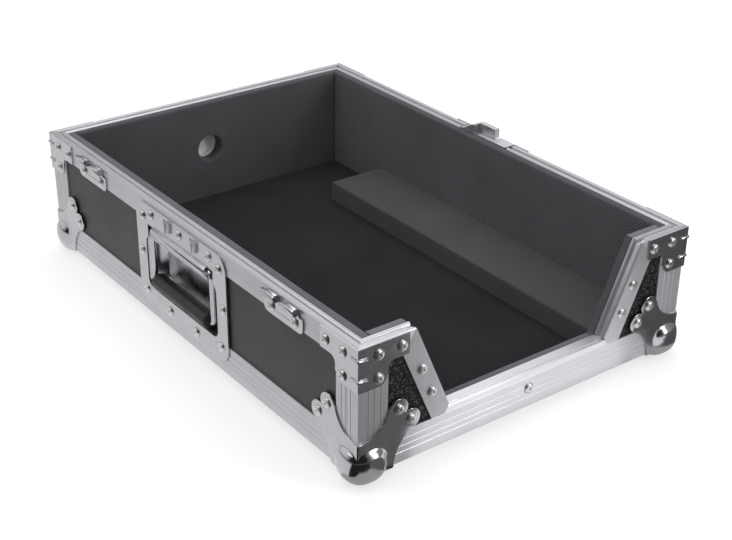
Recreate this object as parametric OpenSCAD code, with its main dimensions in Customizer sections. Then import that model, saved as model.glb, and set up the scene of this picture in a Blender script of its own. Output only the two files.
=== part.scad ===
// Base of a flight case for one tabletop disc player: laminated plywood walls in
// aluminium edge profiles, with a low front so that the player's controls stay in reach.
// The front (cut-out side) faces -Y, the handle and hinge side is -X, the latch side +X.
// Millimetres, origin on the floor under the middle of the case, standing on its ball corners.

/* [Case] */
// Outside width over the edge profiles, handle side to latch side
case_w = 374; // [350:1:420]
// Outside length over the edge profiles, cut-out side to back
case_l = 546; // [530:1:600]
// Height from the lower edge profile to the top of the rim
case_h = 125; // [122:1:140]
// Thickness of the laminated plywood
panel_t = 7; // [6:0.5:8]
// Wall thickness of the aluminium profiles
metal_t = 1.5; // [1.2:0.1:1.8]
// Face width of the angle profiles on the edges
angle_w = 30; // [28:1:32]
// Height of the outer face of the rim profile
rim_leg = 21; // [20:0.5:22]
// Width of the rim profile seen from above
rim_w = 13.5; // [13:0.1:14.5]

/* [Front cut-out] */
// Height of the sill above the lower edge profile
sill_h = 36.3; // [36:0.1:42]
// Distance from the case side to the top end of a slanted edge
cut_top = 58.3; // [56:0.1:64]
// Slant of the cut-out's edges from upright, in degrees
slant = 23.5; // [20:0.5:25]

/* [Lining] */
// Thickness of the foam that shows inside the rim
lining_t = 8; // [6:0.5:10]
// Thickness of the foam on the floor
floor_t = 4; // [3:0.5:6]
// Width of each foam support block
block_w = 70; // [50:1:80]
// Length of each foam support block
block_l = 411; // [380:1:420]

/* [Hardware] */
// Sheet thickness of the riveted steel parts
plate_t = 1.5; // [1.2:0.1:1.6]
// Diameter of a rivet head
rivet_d = 10; // [9:0.5:11]
// Radius of the ball corners
ball_r = 20; // [19:0.5:21]
// Distance of the middle of a ball from the faces of the case
ball_in = 12.5; // [12:0.1:13]
// How far a ball reaches below the lower edge profile
ball_drop = 10.4; // [9:0.1:11]
// Middle of the side hardware, forward or back of the middle of the case
side_y = 3.5; // [0:0.5:6]
// Distance of the middle of each hinge from the end of the case
hinge_in = 100; // [96:1:106]
// Diameter of the hinge pins
hinge_pin_d = 4.4; // [4:0.1:4.6]
// Length of the free end of each hinge pin
hinge_pin_l = 8; // [6:0.5:9]

/* [Handle] */
// Length of the handle dish
dish_w = 163; // [160:1:168]
// Length of the recess in the handle dish
recess_w = 129; // [127:1:132]
// Depth of the recess
recess_d = 15; // [13:0.5:16]
// Length of the rubber grip
grip_l = 98; // [90:1:100]
// Diameter of the rubber grip
grip_d = 16; // [15:0.5:16]
// Diameter of the handle rod
rod_d = 6; // [5:0.5:6.5]
// Height of the middle of the grip above the lower edge of the recess
grip_rise = 11; // [10:0.5:12]

/* [Latch] */
// Length of the latch dish along the wall
latch_w = 112; // [110:1:118]
// Length of the pocket that the latch sits in
pocket_w = 70; // [68:1:72]
// Depth of the pocket
pocket_d = 8; // [7.9:0.1:8.2]
// Width of the latch claw
claw_w = 24; // [22:1:26]
// Height of the raised claw above the rim
claw_up = 10.5; // [9:0.5:11]

/* [Cable hole] */
// Diameter of the cable hole in the back wall
hole_d = 30; // [26:0.5:32]
// Height of the middle of the cable hole above the lower edge profile
hole_z = 69.6; // [66:0.1:72]
// Distance of the cable hole from the middle of the back wall
hole_x = -7; // [-12:0.5:0]

/* [Hidden] */
$fn = 48;
x0 = -case_w / 2;
x1 = case_w / 2;
y0 = -case_l / 2;
y1 = case_l / 2;
z0 = ball_drop;
z1 = z0 + case_h;
wall_in = metal_t + panel_t;
lip_in = wall_in + metal_t;
foam_in = rim_w + lining_t;
slot_v = 4;
slot_leg = 18;
lip_leg = 9;
foam_drop = 1;
foam_tuck = slot_leg + 0.5;
sill_z = z0 + sill_h;
floor_z = z0 + wall_in;
carpet_z = floor_z + floor_t;
rib_at = [10, 16, 22.5];
rib_cut = 0.4;
rivet_r = rivet_d / 2;
shank_r = 2.4;
fit = 0.1;
run = 0.3;

// Heights of the riveted hardware above the lower edge profile
brace_hi = case_h - 11;
brace_lo = case_h - 33;
brace_top = case_h - 0.7;
brace_arm = 50;
brace_drop = case_h - 20.5;
brace_foot = case_h - 41;
brace_lobe = 9;
brace_rivets_at = [[19, brace_hi], [42.5, brace_hi], [19, brace_lo]];
rib_l = 9;
rib_r = 1.4;
leg_hi = [40.5, 54.5];
leg_lo = [53.5, 40.5];
leg_lobe = 9.6;
leg_w = 36.5;
leg_h = 36;
leg_top_r = 28.8;
leg_side_r = 38;
// Smaller ball in the large one, so that the bulge reaches past the bent edge
crown_r = ball_r - 4;
crown_in = ball_in - 3.7;
crown_up = 2.4;
hinge_foot = case_h - 24;
hinge_axis_z = z0 + case_h - 4;
roll_r = 3.7;
hinge_axis_x = x0 - roll_r;
pin_r = hinge_pin_d / 2;
pin_hold_r = pin_r + 0.3;
pin_tip = 1.2;
hinge_leaf_w = 58;
hinge_rivet = 17.5;
hinge_rivet_z = case_h - 16;
knuckle_l = 15;
knuckles = [6, 35];
hinges_y = [side_y + y0 + hinge_in, side_y + y1 - hinge_in];

// Handle: pivot bar in a half-round ridge above the recess
pivot_x = x0 + 0.7;
pivot_z = z1 - 30;
rod_r = rod_d / 2;
grip_r = grip_d / 2;
arm_y = grip_l / 2 + rod_r + 2.5;
bend_r = 5;
dish_lo = z0 + 11;
dish_hi = z1 - 4;
recess_lo = z0 + angle_w + 2;
recess_hi = pivot_z - 8;
swing = pivot_z - recess_lo - grip_rise;
recess_draft = 12;
ridge_r = 6;
ridge_in = 4.6;
ridge_y = arm_y - rod_r - 2;
arm_slot = arm_y + rod_r + 2;
lug_in = 38;
lug_out = 46;
spring_in = 14;
spring_out = 34;
spring_r = 4.3;
dish_cut = 2;
dish_skin = 1.2;
dish_back = pivot_z + 8;
lances = [-32.5, 15.5];
lance_z = z1 - 13;
lance_w = 9;
lance_h = 12;
lance_slot = 2.4;
dish_end = dish_w / 2;
dish_rivets = [
    for (s = [-1, 1]) [side_y + s * (dish_end - 12.5), z1 - 19],
    for (s = [-1, 1]) [side_y + s * (dish_end - 7.5), (recess_lo + recess_hi) / 2 + 7.5],
    for (s = [-1, 1]) [side_y + s * (dish_end - 12.5), dish_lo + 15],
    for (s = [-1, 1]) [side_y + s * (dish_end - 57), dish_lo + 9.5],
    for (s = [-1, 0, 1]) [side_y + s * (dish_end - 29), lance_z]];

// Latch: cam with two folding wings and a claw, in a pocket that is open at the rim
latch_y = -3;
latch_lo = z0 + 14;
pocket_lo = z1 - 81;
back_t = 1.2;
pocket_x = x1 - pocket_d;
claw_t = 2.2;
claw_x = pocket_x + back_t + 0.4;
claw_low = z1 - 59;
claw_head = 6;
hook_h = 3;
cam_t = 2.7;
cam_x = claw_x + claw_t + run;
cam_z = z1 - 51;
cam_r = 14;
cam_pin_r = 3;
crank = 6;
crank_r = 2;
crank_slack = 1.5;
barrel_x = cam_x + cam_t + 2.3;
barrel_r = 2.2;
barrel_pin_r = 1.2;
wing_l = 23;
wing_h = 24;
wing_t = 1.6;
wing_root = 6;
knuckle_h = 7;
ear_h = 2;
latch_end = latch_w / 2;
latch_rivet_at = [
    for (s = [-1, 1]) [latch_y + s * (latch_end - 11), z1 - 12],
    for (s = [-1, 1]) [latch_y + s * (latch_end - 11), z1 - 63],
    for (s = [-1, 0, 1]) [latch_y + s * (latch_end - 16), latch_lo + 10]];
trim_rivets_down = [41.5, 67];
front_rivet_z = z0 + angle_w - 10.7;

// Height z on the opening side of the left slanted edge, moved c outwards from the panel
function slant_x(z, c) = x0 + cut_top + (z1 - z) * tan(slant) + c / cos(slant);

// Points of a round stretch about a middle, from angle a to angle b
function arc(mid, r, a, b, n = 8) =
    [for (i = [0 : n]) mid + r * [cos(a + (b - a) * i / n), sin(a + (b - a) * i / n)]];

// Plan regions that mitre the profiles at the corners
module side_region() {
    reach = 20;
    translate([0, 0, -1]) linear_extrude(z1 + 20)
        polygon([[x0 - reach, y0 - reach], [0, y0 - x0], [0, y1 + x0], [x0 - reach, y1 + reach]]);
}

module end_region() {
    reach = 20;
    translate([0, 0, -1]) linear_extrude(z1 + 20)
        polygon([[x0 - reach, y0 - reach], [x1 + reach, y0 - reach], [0, y0 - x0]]);
}

// Places a shape drawn for the front left corner at another corner
module at_corner(right, back) {
    mirror([right, 0, 0]) mirror([0, back, 0]) translate([x0, y0, z0]) children();
}

// Lays a (distance from the corner, height) outline on the left and the front face
module on_left_face(t) {
    translate([-t, 0, 0]) rotate([90, 0, 90]) linear_extrude(t) children();
}

module on_front_face(t) {
    rotate([90, 0, 0]) linear_extrude(t) children();
}

// Turns a shape's +Z to point out of a wall
module out_left(y, z, x = x0) {
    translate([x, y, z]) rotate([0, -90, 0]) children();
}

module out_right(y, z, x = x1) {
    translate([x, y, z]) rotate([0, 90, 0]) children();
}

module out_front(x, z) {
    translate([x, y0, z]) rotate([90, 0, 0]) children();
}

// Domed blind rivet with its open middle, seated on a plate or on a profile
module rivet(seat = plate_t) {
    shank = seat > 0 ? [[shank_r - fit, 0], [shank_r - fit, -seat], [0, -seat]] : [[0, 0]];
    translate([0, 0, seat]) rotate_extrude($fn = 24)
        polygon(concat([[0, 0.8], [1.5, 0.8], [1.5, 2.2], [2.7, 2.1], [4, 1.4], [rivet_r, 0.4],
            [rivet_r, 0]], shank));
}

module rivet_hole() {
    translate([0, 0, -1]) cylinder(h = plate_t + 2, r = shank_r, $fn = 24);
}

// Section of an angle profile: two legs with fine grooves along their faces
module angle_section() {
    difference() {
        square([angle_w, angle_w]);
        translate([metal_t, metal_t]) square([angle_w, angle_w]);
        for (g = rib_at) {
            translate([g - rib_cut, -1]) square([2 * rib_cut, 1 + rib_cut]);
            translate([-1, g - rib_cut]) square([1 + rib_cut, 2 * rib_cut]);
        }
    }
}

// Section of the rim profile: shoulder, groove and round ridge above a slot for the panel
module rim_section() {
    ridge_w = rim_w - 8;
    polygon(concat(
        [[0, -rim_leg]],
        arc([2, -2], 2, 180, 90, 4),
        [[5.5, 0], [5.5, -2.4], [8, -2.4]],
        arc([8 + ridge_w / 2, -ridge_w / 2], ridge_w / 2, 180, 0, 8),
        [[rim_w, -lip_leg], [rim_w - metal_t, -lip_leg], [rim_w - metal_t, -slot_v],
            [lip_in, -slot_v], [lip_in, -slot_leg], [wall_in, -slot_leg], [wall_in, -slot_v],
            [metal_t, -slot_v], [metal_t, -rim_leg]]));
}

// Section of the flat sill profile with its one groove
module sill_section() {
    leg = sill_h - angle_w;
    polygon([[0, -leg], [0, -0.6], [0.6, 0], [1.9, 0], [1.9, -0.8], [3.4, -0.8], [3.4, 0],
        [rim_w - 0.6, 0], [rim_w, -0.6], [rim_w, -lip_leg], [rim_w - metal_t, -lip_leg],
        [rim_w - metal_t, -metal_t], [lip_in, -metal_t], [lip_in, -slot_leg], [wall_in, -slot_leg],
        [wall_in, -metal_t], [metal_t, -metal_t], [metal_t, -leg]]);
}

// Runs a section along Y, on the left side, or along X, on the front
module along_y(x, z) {
    translate([x, y1, z]) rotate([90, 0, 0]) linear_extrude(case_l) children();
}

module along_x(y, z) {
    translate([x0, y, z]) rotate([90, 0, 90]) linear_extrude(case_w) children();
}

// Walls and floor
module side_wall(top) {
    translate([x0 + metal_t, y0 + metal_t, floor_z])
        cube([panel_t, case_l - 2 * metal_t, top - floor_z]);
}

module base_panel() {
    color("dimgray") translate([x0 + metal_t, y0 + metal_t, z0 + metal_t])
        cube([case_w - 2 * metal_t, case_l - 2 * metal_t, panel_t]);
}

module left_panel() {
    color("dimgray") difference() {
        side_wall(z1 - slot_v);
        translate([x0, side_y - recess_w / 2 - dish_cut, recess_lo - dish_cut])
            cube([20, recess_w + 2 * dish_cut, dish_back - recess_lo + dish_cut]);
    }
}

module right_panel() {
    color("dimgray") difference() {
        mirror([1, 0, 0]) side_wall(z1 - slot_v);
        translate([x1 - 20, latch_y - pocket_w / 2 - fit, pocket_lo - fit])
            cube([30, pocket_w + 2 * fit, case_h]);
    }
}

module back_panel() {
    color("dimgray") difference() {
        translate([x0 + wall_in, y1 - wall_in, floor_z])
            cube([case_w - 2 * wall_in, panel_t, z1 - slot_v - floor_z]);
        translate([hole_x, y1 + 1, z0 + hole_z]) rotate([90, 0, 0]) cylinder(h = 30, d = hole_d);
    }
}

module front_panel() {
    top = z1 - slot_v;
    step = sill_z - metal_t;
    half = [[x0 + wall_in, floor_z], [x0 + wall_in, top], [slant_x(top, -slot_v), top],
        [slant_x(step, -slot_v), step]];
    color("dimgray") translate([0, y0 + wall_in, 0]) rotate([90, 0, 0]) linear_extrude(panel_t)
        polygon(concat(half, [for (i = [3 : -1 : 0]) [-half[i][0], half[i][1]]]));
}

// Edge profiles
module base_profile_left() {
    color("silver") intersection() {
        along_y(x0, z0) angle_section();
        side_region();
    }
}

module base_profile_right() {
    mirror([1, 0, 0]) base_profile_left();
}

module base_profile_front() {
    color("silver") intersection() {
        along_x(y0, z0) angle_section();
        end_region();
    }
}

module base_profile_back() {
    mirror([0, 1, 0]) base_profile_front();
}

module corner_profile(right, back) {
    color("silver") at_corner(right, back) translate([0, 0, angle_w])
        linear_extrude(case_h - rim_leg - angle_w) angle_section();
}

module corner_profile_front_left() {
    corner_profile(0, 0);
}

module corner_profile_front_right() {
    corner_profile(1, 0);
}

module corner_profile_back_left() {
    corner_profile(0, 1);
}

module corner_profile_back_right() {
    corner_profile(1, 1);
}

// Rim, with a mitre in plan at the corners and in elevation at the slanted edges
module rim_left() {
    color("silver") intersection() {
        along_y(x0, z1) rim_section();
        side_region();
    }
}

module rim_right() {
    color("silver") difference() {
        mirror([1, 0, 0]) intersection() {
            along_y(x0, z1) rim_section();
            side_region();
        }
        for (n = [[wall_in - fit, rim_leg + 1], [rim_w + 1, lip_leg + fit]])
            translate([x1 - n[0], latch_y - pocket_w / 2 - 2, z1 - n[1]])
                cube([n[0] + 1, pocket_w + 4, n[1] + 1]);
    }
}

module rim_back() {
    color("silver") mirror([0, 1, 0]) intersection() {
        along_x(y0, z1) rim_section();
        end_region();
    }
}

// Elevation of the mitre between the front rim and the slanted trim
function mitre_at(s) = [x0 + cut_top, z1] - s * [cos(slant), 1 + sin(slant)];

module through_front(pts) {
    translate([0, y0 + 30, 0]) rotate([90, 0, 0]) linear_extrude(40) polygon(pts);
}

// Dark pocket left where the groove ends at the mitre
module groove_end() {
    translate([x0 + cut_top - 6.5, y0 + 3, z1 - slot_v + 0.6]) cube([14, 4.6, slot_v + 4]);
}

// Rounds the outer corner of the two legs at the mitre
module mitre_corner() {
    r = 6;
    mid = mitre_at(r / (1 + sin(slant)));
    translate([0, y0 + 3, 0]) rotate([90, 0, 0]) linear_extrude(4) difference() {
        polygon([mitre_at(-1), mid + [0, r + 1], mid + [0, 1], mid + [cos(slant), sin(slant)],
            mid + (r + 1) * [cos(slant), sin(slant)]]);
        translate(mid) circle(r = r, $fn = 48);
    }
}

module rim_front_left() {
    color("silver") difference() {
        intersection() {
            along_x(y0, z1) rim_section();
            end_region();
            through_front([mitre_at(-4), mitre_at(20), [x0 - 5, mitre_at(20)[1]], [x0 - 5, z1 + 5]]);
        }
        groove_end();
        mitre_corner();
    }
}

module rim_front_right() {
    mirror([1, 0, 0]) rim_front_left();
}

module slant_trim_left() {
    step = sill_z - metal_t;
    low = z0 + angle_w;
    foot_a = [slant_x(step, -slot_v), step];
    foot_b = [slant_x(step + slot_v, 0), step + slot_v];
    foot_c = foot_a - (foot_b - foot_a) * (step - low) / slot_v;
    color("silver") difference() {
        intersection() {
            translate([x0 + cut_top, y0, z1]) rotate([0, 90 - slant, 0]) translate([-30, 0, 0])
                rotate([90, 0, 90]) linear_extrude(160) rim_section();
            through_front([mitre_at(-4), mitre_at(20), [x0 + 20, mitre_at(20)[1]], [x0 + 20, low],
                foot_c, foot_b, [0, step + slot_v], [0, z1 + 5]]);
        }
        groove_end();
        mitre_corner();
    }
}

module slant_trim_right() {
    mirror([1, 0, 0]) slant_trim_left();
}

module sill_trim() {
    step = sill_z - metal_t;
    low = z0 + angle_w;
    foot_a = [slant_x(step, -slot_v), step];
    lean = [slant_x(step + slot_v, 0), step + slot_v] - foot_a;
    foot_c = foot_a - lean * (step - low) / slot_v;
    foot_d = foot_a + lean * (sill_z + 1 - step) / slot_v;
    color("whitesmoke") intersection() {
        along_x(y0, sill_z) sill_section();
        through_front([[foot_c[0], z0], foot_c, foot_d, [-foot_d[0], foot_d[1]],
            [-foot_c[0], foot_c[1]], [-foot_c[0], z0]]);
    }
}

// Corner braces: one bent plate with an arm along the rim and a lobed foot on each face
module brace_outline() {
    difference() {
        union() {
            translate([0, brace_drop]) square([brace_arm, brace_top - brace_drop]);
            translate([0, brace_foot + 8]) square([angle_w - 1, brace_drop - brace_foot - 7]);
            translate([0, brace_foot]) square([brace_rivets_at[2][0], brace_lobe + 1]);
            translate([brace_rivets_at[2][0], brace_foot + brace_lobe]) circle(r = brace_lobe);
            translate([angle_w - 2, brace_drop - 6]) square([8, 7]);
        }
        translate([angle_w + 6, brace_drop - 7]) circle(r = 7);
        translate([angle_w + 10, brace_foot + 3]) circle(r = 12);
    }
}

module brace_holes() {
    for (p = brace_rivets_at) {
        translate([p[0], 0, p[1]]) rotate([90, 0, 0]) rivet_hole();
        translate([0, p[0], p[1]]) rotate([0, -90, 0]) rivet_hole();
    }
}

module brace(right, back) {
    color("gray") at_corner(right, back) {
        difference() {
            union() {
                on_front_face(plate_t) brace_outline();
                on_left_face(plate_t) brace_outline();
                translate([-plate_t, -plate_t, brace_foot])
                    cube([plate_t, plate_t, brace_top - brace_foot]);
            }
            brace_holes();
        }
        for (z = [brace_hi, brace_lo + 3]) translate([-plate_t, -plate_t, z]) {
            rotate([0, 90, 0]) cylinder(h = rib_l, r = rib_r, $fn = 24);
            rotate([-90, 0, 0]) cylinder(h = rib_l, r = rib_r, $fn = 24);
            sphere(r = rib_r, $fn = 24);
        }
    }
}

module brace_front_left() {
    brace(0, 0);
}

module brace_front_right() {
    brace(1, 0);
}

module brace_back_left() {
    brace(0, 1);
}

module brace_back_right() {
    brace(1, 1);
}

// Ball corners: a ball around the corner with a two-lobed leg on each face and a plate below
module leg_outline() {
    difference() {
        union() {
            translate(leg_hi) circle(r = leg_lobe);
            translate(leg_lo) circle(r = leg_lobe);
            polygon([[0, 0], [0, leg_h], [14, 44], [28, 58], leg_hi, [48, 50], leg_lo, [58, 33],
                [48, 12], [40, 0]]);
        }
        translate([2, leg_h - 1.3 + leg_top_r]) circle(r = leg_top_r);
        translate([leg_w - 0.5 + leg_side_r, -2]) circle(r = leg_side_r);
    }
}

module ball_corner(right, back) {
    reach = 60;
    color("gray") at_corner(right, back) difference() {
        union() {
            translate([ball_in, ball_in, ball_r - ball_drop]) sphere(r = ball_r, $fn = 64);
            translate([crown_in, crown_in, ball_r - ball_drop + crown_up])
                sphere(r = crown_r, $fn = 64);
            on_front_face(plate_t) leg_outline();
            on_left_face(plate_t) leg_outline();
            translate([-plate_t, -plate_t, 0]) cube([plate_t, plate_t, leg_h]);
            translate([0, 0, -plate_t]) linear_extrude(plate_t) intersection() {
                circle(r = leg_w);
                translate([-plate_t, -plate_t]) square(reach);
            }
            translate([-plate_t, -plate_t, -plate_t]) cube([leg_w, plate_t, plate_t]);
            translate([-plate_t, -plate_t, -plate_t]) cube([plate_t, leg_w, plate_t]);
        }
        cube(reach);
        for (p = [leg_hi, leg_lo]) {
            translate([p[0], 0, p[1]]) rotate([90, 0, 0]) rivet_hole();
            translate([0, p[0], p[1]]) rotate([0, -90, 0]) rivet_hole();
        }
    }
}

module ball_corner_front_left() {
    ball_corner(0, 0);
}

module ball_corner_front_right() {
    ball_corner(1, 0);
}

module ball_corner_back_left() {
    ball_corner(0, 1);
}

module ball_corner_back_right() {
    ball_corner(1, 1);
}

// Lift-off hinges: a leaf whose two rolled knuckles hold pins that point to the back
module leaf_outline() {
    r = 6;
    top = brace_hi + 2;
    half = hinge_leaf_w / 2;
    polygon(concat([[half, top], [-half, top]],
        arc([-half + r, hinge_foot + r], r, 180, 270, 6),
        arc([half - r, hinge_foot + r], r, 270, 360, 6)));
}

module hinge_leaf(y) {
    start = y - hinge_leaf_w / 2;
    color("silver") difference() {
        union() {
            translate([x0 - plate_t, y, z0]) rotate([90, 0, 90]) linear_extrude(plate_t)
                leaf_outline();
            for (k = knuckles) {
                translate([x0 - plate_t, start + k, z0 + brace_hi])
                    cube([plate_t, knuckle_l, hinge_axis_z - z0 - brace_hi]);
                translate([hinge_axis_x, start + k, hinge_axis_z]) rotate([-90, 0, 0])
                    cylinder(h = knuckle_l, r = roll_r);
            }
        }
        for (k = knuckles)
            translate([hinge_axis_x, start + k - 1, hinge_axis_z]) rotate([-90, 0, 0])
                cylinder(h = knuckle_l + 2, r = pin_hold_r);
        for (s = [-1, 1]) out_left(y + s * hinge_rivet, z0 + hinge_rivet_z) rivet_hole();
    }
}

module hinge_pins(y) {
    start = y - hinge_leaf_w / 2;
    full = knuckle_l + hinge_pin_l;
    color("gainsboro") for (k = knuckles)
        translate([hinge_axis_x, start + k, hinge_axis_z]) rotate([-90, 0, 0]) rotate_extrude()
            polygon([[0, 0], [pin_hold_r, 0], [pin_hold_r, knuckle_l], [pin_r, knuckle_l],
                [pin_r, full - pin_tip], [pin_r - 0.9, full], [0, full]]);
}

module hinge_leaf_front() {
    hinge_leaf(hinges_y[0]);
}

module hinge_leaf_back() {
    hinge_leaf(hinges_y[1]);
}

module hinge_pins_front() {
    hinge_pins(hinges_y[0]);
}

module hinge_pins_back() {
    hinge_pins(hinges_y[1]);
}

// Handle dish: flange, drafted recess and the half-round ridge over the pivot bar
module round_box(x, w, lo, hi, r, t = 0.02) {
    h = hi - lo;
    translate([x, side_y, (lo + hi) / 2]) rotate([90, 0, 90]) linear_extrude(t) polygon(concat(
        arc([w / 2 - r, h / 2 - r], r, 0, 90, 6), arc([r - w / 2, h / 2 - r], r, 90, 180, 6),
        arc([r - w / 2, r - h / 2], r, 180, 270, 6), arc([w / 2 - r, r - h / 2], r, 270, 360, 6)));
}

module recess_form(grow, depth) {
    hull() {
        round_box(x0 - 0.02, recess_w + 2 * grow, recess_lo - grow, recess_hi + grow, 8 + grow);
        round_box(x0 + depth, recess_w - 2 * recess_draft + 2 * grow, recess_lo + 7 - grow,
            recess_hi - 4 + grow, 8 + grow);
    }
}

module bar_cut(r, half) {
    translate([pivot_x, side_y - half, pivot_z]) rotate([-90, 0, 0]) cylinder(h = 2 * half, r = r);
}

module handle_dish() {
    lug_l = lug_out - lug_in;
    slot_w = arm_slot - ridge_y;
    lug_d = pivot_x - x0 + rod_r + 2.5;
    color("silver") difference() {
        union() {
            round_box(x0 - plate_t, dish_w, dish_lo, dish_hi, 16, plate_t);
            recess_form(dish_skin, recess_d + dish_skin);
            intersection() {
                bar_cut(ridge_r, ridge_y);
                translate([x0 - 20, side_y - dish_w / 2, pivot_z - 20]) cube([20, dish_w, 40]);
            }
            for (s = [-1, 1])
                translate([x0, side_y + s * (lug_in + lug_out) / 2 - lug_l / 2, pivot_z - 6])
                    cube([lug_d, lug_l, 12]);
            for (t = lances) out_left(side_y + t, lance_z) lance_tab();
        }
        recess_form(0, recess_d);
        round_box(x0 - plate_t - 1, recess_w, recess_lo, recess_hi, 8, plate_t + 1.1);
        bar_cut(rod_r + fit, arm_slot);
        bar_cut(ridge_in, lug_in);
        for (s = [-1, 1])
            translate([x0 - 8, side_y + s * (ridge_y + arm_slot) / 2 - slot_w / 2, recess_hi - 4])
                cube([12, slot_w, pivot_z + rod_r + 2 - recess_hi + 4]);
        for (p = dish_rivets) out_left(p[0], p[1]) rivet_hole();
        for (t = lances)
            translate([x0 - 5, side_y + t + lance_w, lance_z - lance_h / 2])
                cube([10, lance_slot, lance_h]);
    }
}

// Tab pressed out beside a slot, where a spring's end is caught
module lance_tab() {
    translate([lance_h / 2 - 1, 0, plate_t - 0.2]) rotate([0, -90, 0])
        linear_extrude(lance_h - 2) polygon(arc([0, lance_w / 2], lance_w / 2, -90, 90, 10));
}

// Handle bail: one closed rod; the grip sits on its lower run
module rod_bend(ay, az, turn) {
    translate([pivot_x, ay, az]) rotate([0, 90, 0]) rotate([0, 0, turn])
        rotate_extrude(angle = 90, $fn = 32) translate([bend_r, 0]) circle(r = rod_r, $fn = 24);
}

module handle_bail() {
    low = pivot_z - swing;
    inner = arm_y - bend_r;
    color("silver") union() {
        for (z = [pivot_z, low]) translate([pivot_x, side_y - inner, z]) rotate([-90, 0, 0])
            cylinder(h = 2 * inner, r = rod_r, $fn = 24);
        for (s = [-1, 1]) translate([pivot_x, side_y + s * arm_y, low + bend_r])
            cylinder(h = swing - 2 * bend_r, r = rod_r, $fn = 24);
        rod_bend(side_y + inner, pivot_z - bend_r, 90);
        rod_bend(side_y - inner, pivot_z - bend_r, 180);
        rod_bend(side_y + inner, low + bend_r, 0);
        rod_bend(side_y - inner, low + bend_r, -90);
    }
}

module handle_grip() {
    end_r = 2;
    half = grip_l / 2;
    inside = rod_r + fit;
    color("dimgray") translate([pivot_x, side_y, pivot_z - swing]) rotate([-90, 0, 0]) rotate_extrude()
        polygon(concat([[inside, -half]], arc([grip_r - end_r, -half + end_r], end_r, -90, 0, 4),
            arc([grip_r - end_r, half - end_r], end_r, 0, 90, 4), [[inside, half]]));
}

// Torsion springs around the pivot bar, wound as closed coils
module handle_spring(s) {
    wire = spring_r - rod_r - run;
    count = 14;
    pitch = (spring_out - spring_in) / count;
    from = s < 0 ? side_y - spring_out : side_y + spring_in;
    color("gray") translate([pivot_x, from, pivot_z]) rotate([-90, 0, 0]) rotate_extrude($fn = 32)
        polygon(concat([[rod_r + run, 0]],
            [for (i = [0 : count - 1], q = [0, 1]) [q == 0 ? spring_r - wire / 2 : spring_r,
                (i + 0.25 + q * 0.5) * pitch]],
            [[spring_r - wire / 2, spring_out - spring_in], [rod_r + run, spring_out - spring_in]]));
}

module handle_spring_front() {
    handle_spring(-1);
}

module handle_spring_back() {
    handle_spring(1);
}

// Latch on the right wall: a dish whose pocket is open at the rim
module latch_plate(x, w, lo, hi, t, r) {
    translate([x, latch_y, 0]) rotate([90, 0, 90]) linear_extrude(t)
        polygon(concat([[w / 2, hi], [-w / 2, hi]], arc([r - w / 2, lo + r], r, 180, 270, 6),
            arc([w / 2 - r, lo + r], r, 270, 360, 6)));
}

module latch_dish() {
    gap = claw_w + 2 * 0.6;
    ramp_h = 9.5;
    ramp_steps = 8;
    ramp_l = (pocket_w - gap) / 2;
    cover_w = rim_w - 0.4;
    guide_t = 1.5;
    color("silver") difference() {
        union() {
            latch_plate(x1, latch_w, latch_lo, z1, plate_t, 10);
            latch_plate(pocket_x, pocket_w, pocket_lo, z1, pocket_d, 6);
            translate([x1 - cover_w, latch_y - pocket_w / 2, z1 - plate_t])
                cube([cover_w - pocket_d + 1, pocket_w, plate_t]);
            translate([x1 - cover_w, latch_y, z1]) rotate([90, 0, 90]) linear_extrude(cover_w)
                polygon(concat([[gap / 2, -0.5], [pocket_w / 2, -0.5]],
                    [for (i = [0 : ramp_steps]) [pocket_w / 2 - ramp_l * i / ramp_steps,
                        ramp_h * (1 - cos(180 * i / ramp_steps)) / 2]]));
        }
        difference() {
            latch_plate(pocket_x + back_t, pocket_w - 2 * back_t, pocket_lo + back_t, z1 - plate_t,
                pocket_d + 5, 5);
            for (s = [-1, 1])
                translate([pocket_x, latch_y + s * (gap + guide_t) / 2 - guide_t / 2, cam_z + cam_r + 1])
                    cube([claw_x + claw_t - pocket_x, guide_t, z1 - cam_z]);
        }
        translate([pocket_x + back_t, latch_y - gap / 2, z1 - plate_t - 1])
            cube([pocket_d + 5, gap, plate_t + 10]);
        translate([pocket_x - 1, latch_y, cam_z]) rotate([0, 90, 0])
            cylinder(h = back_t + 2, r = cam_pin_r + fit);
        for (p = latch_rivet_at) out_right(p[0], p[1]) rivet_hole();
    }
}

// Cam: a disc on a back pin, with a crank stud for the claw and ears that hold the wing pin
module latch_cam() {
    ears = knuckle_h + run;
    color("gray") union() {
        translate([cam_x, latch_y, cam_z]) rotate([0, 90, 0]) cylinder(h = cam_t, r = cam_r);
        translate([pocket_x, latch_y, cam_z]) rotate([0, 90, 0])
            cylinder(h = cam_x - pocket_x + 1, r = cam_pin_r);
        translate([claw_x, latch_y, cam_z + crank]) rotate([0, 90, 0])
            cylinder(h = cam_x - claw_x + 1, r = crank_r);
        for (s = [-1, 1]) translate([barrel_x, latch_y, cam_z + s * (ears + ear_h / 2) - ear_h / 2]) {
            cylinder(h = ear_h, r = barrel_r);
            translate([cam_x + cam_t - 1 - barrel_x, -barrel_r, 0])
                cube([barrel_x - cam_x - cam_t + 1, 2 * barrel_r, ear_h]);
        }
        translate([barrel_x, latch_y, cam_z - ears - ear_h])
            cylinder(h = 2 * (ears + ear_h), r = barrel_pin_r);
    }
}

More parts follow.
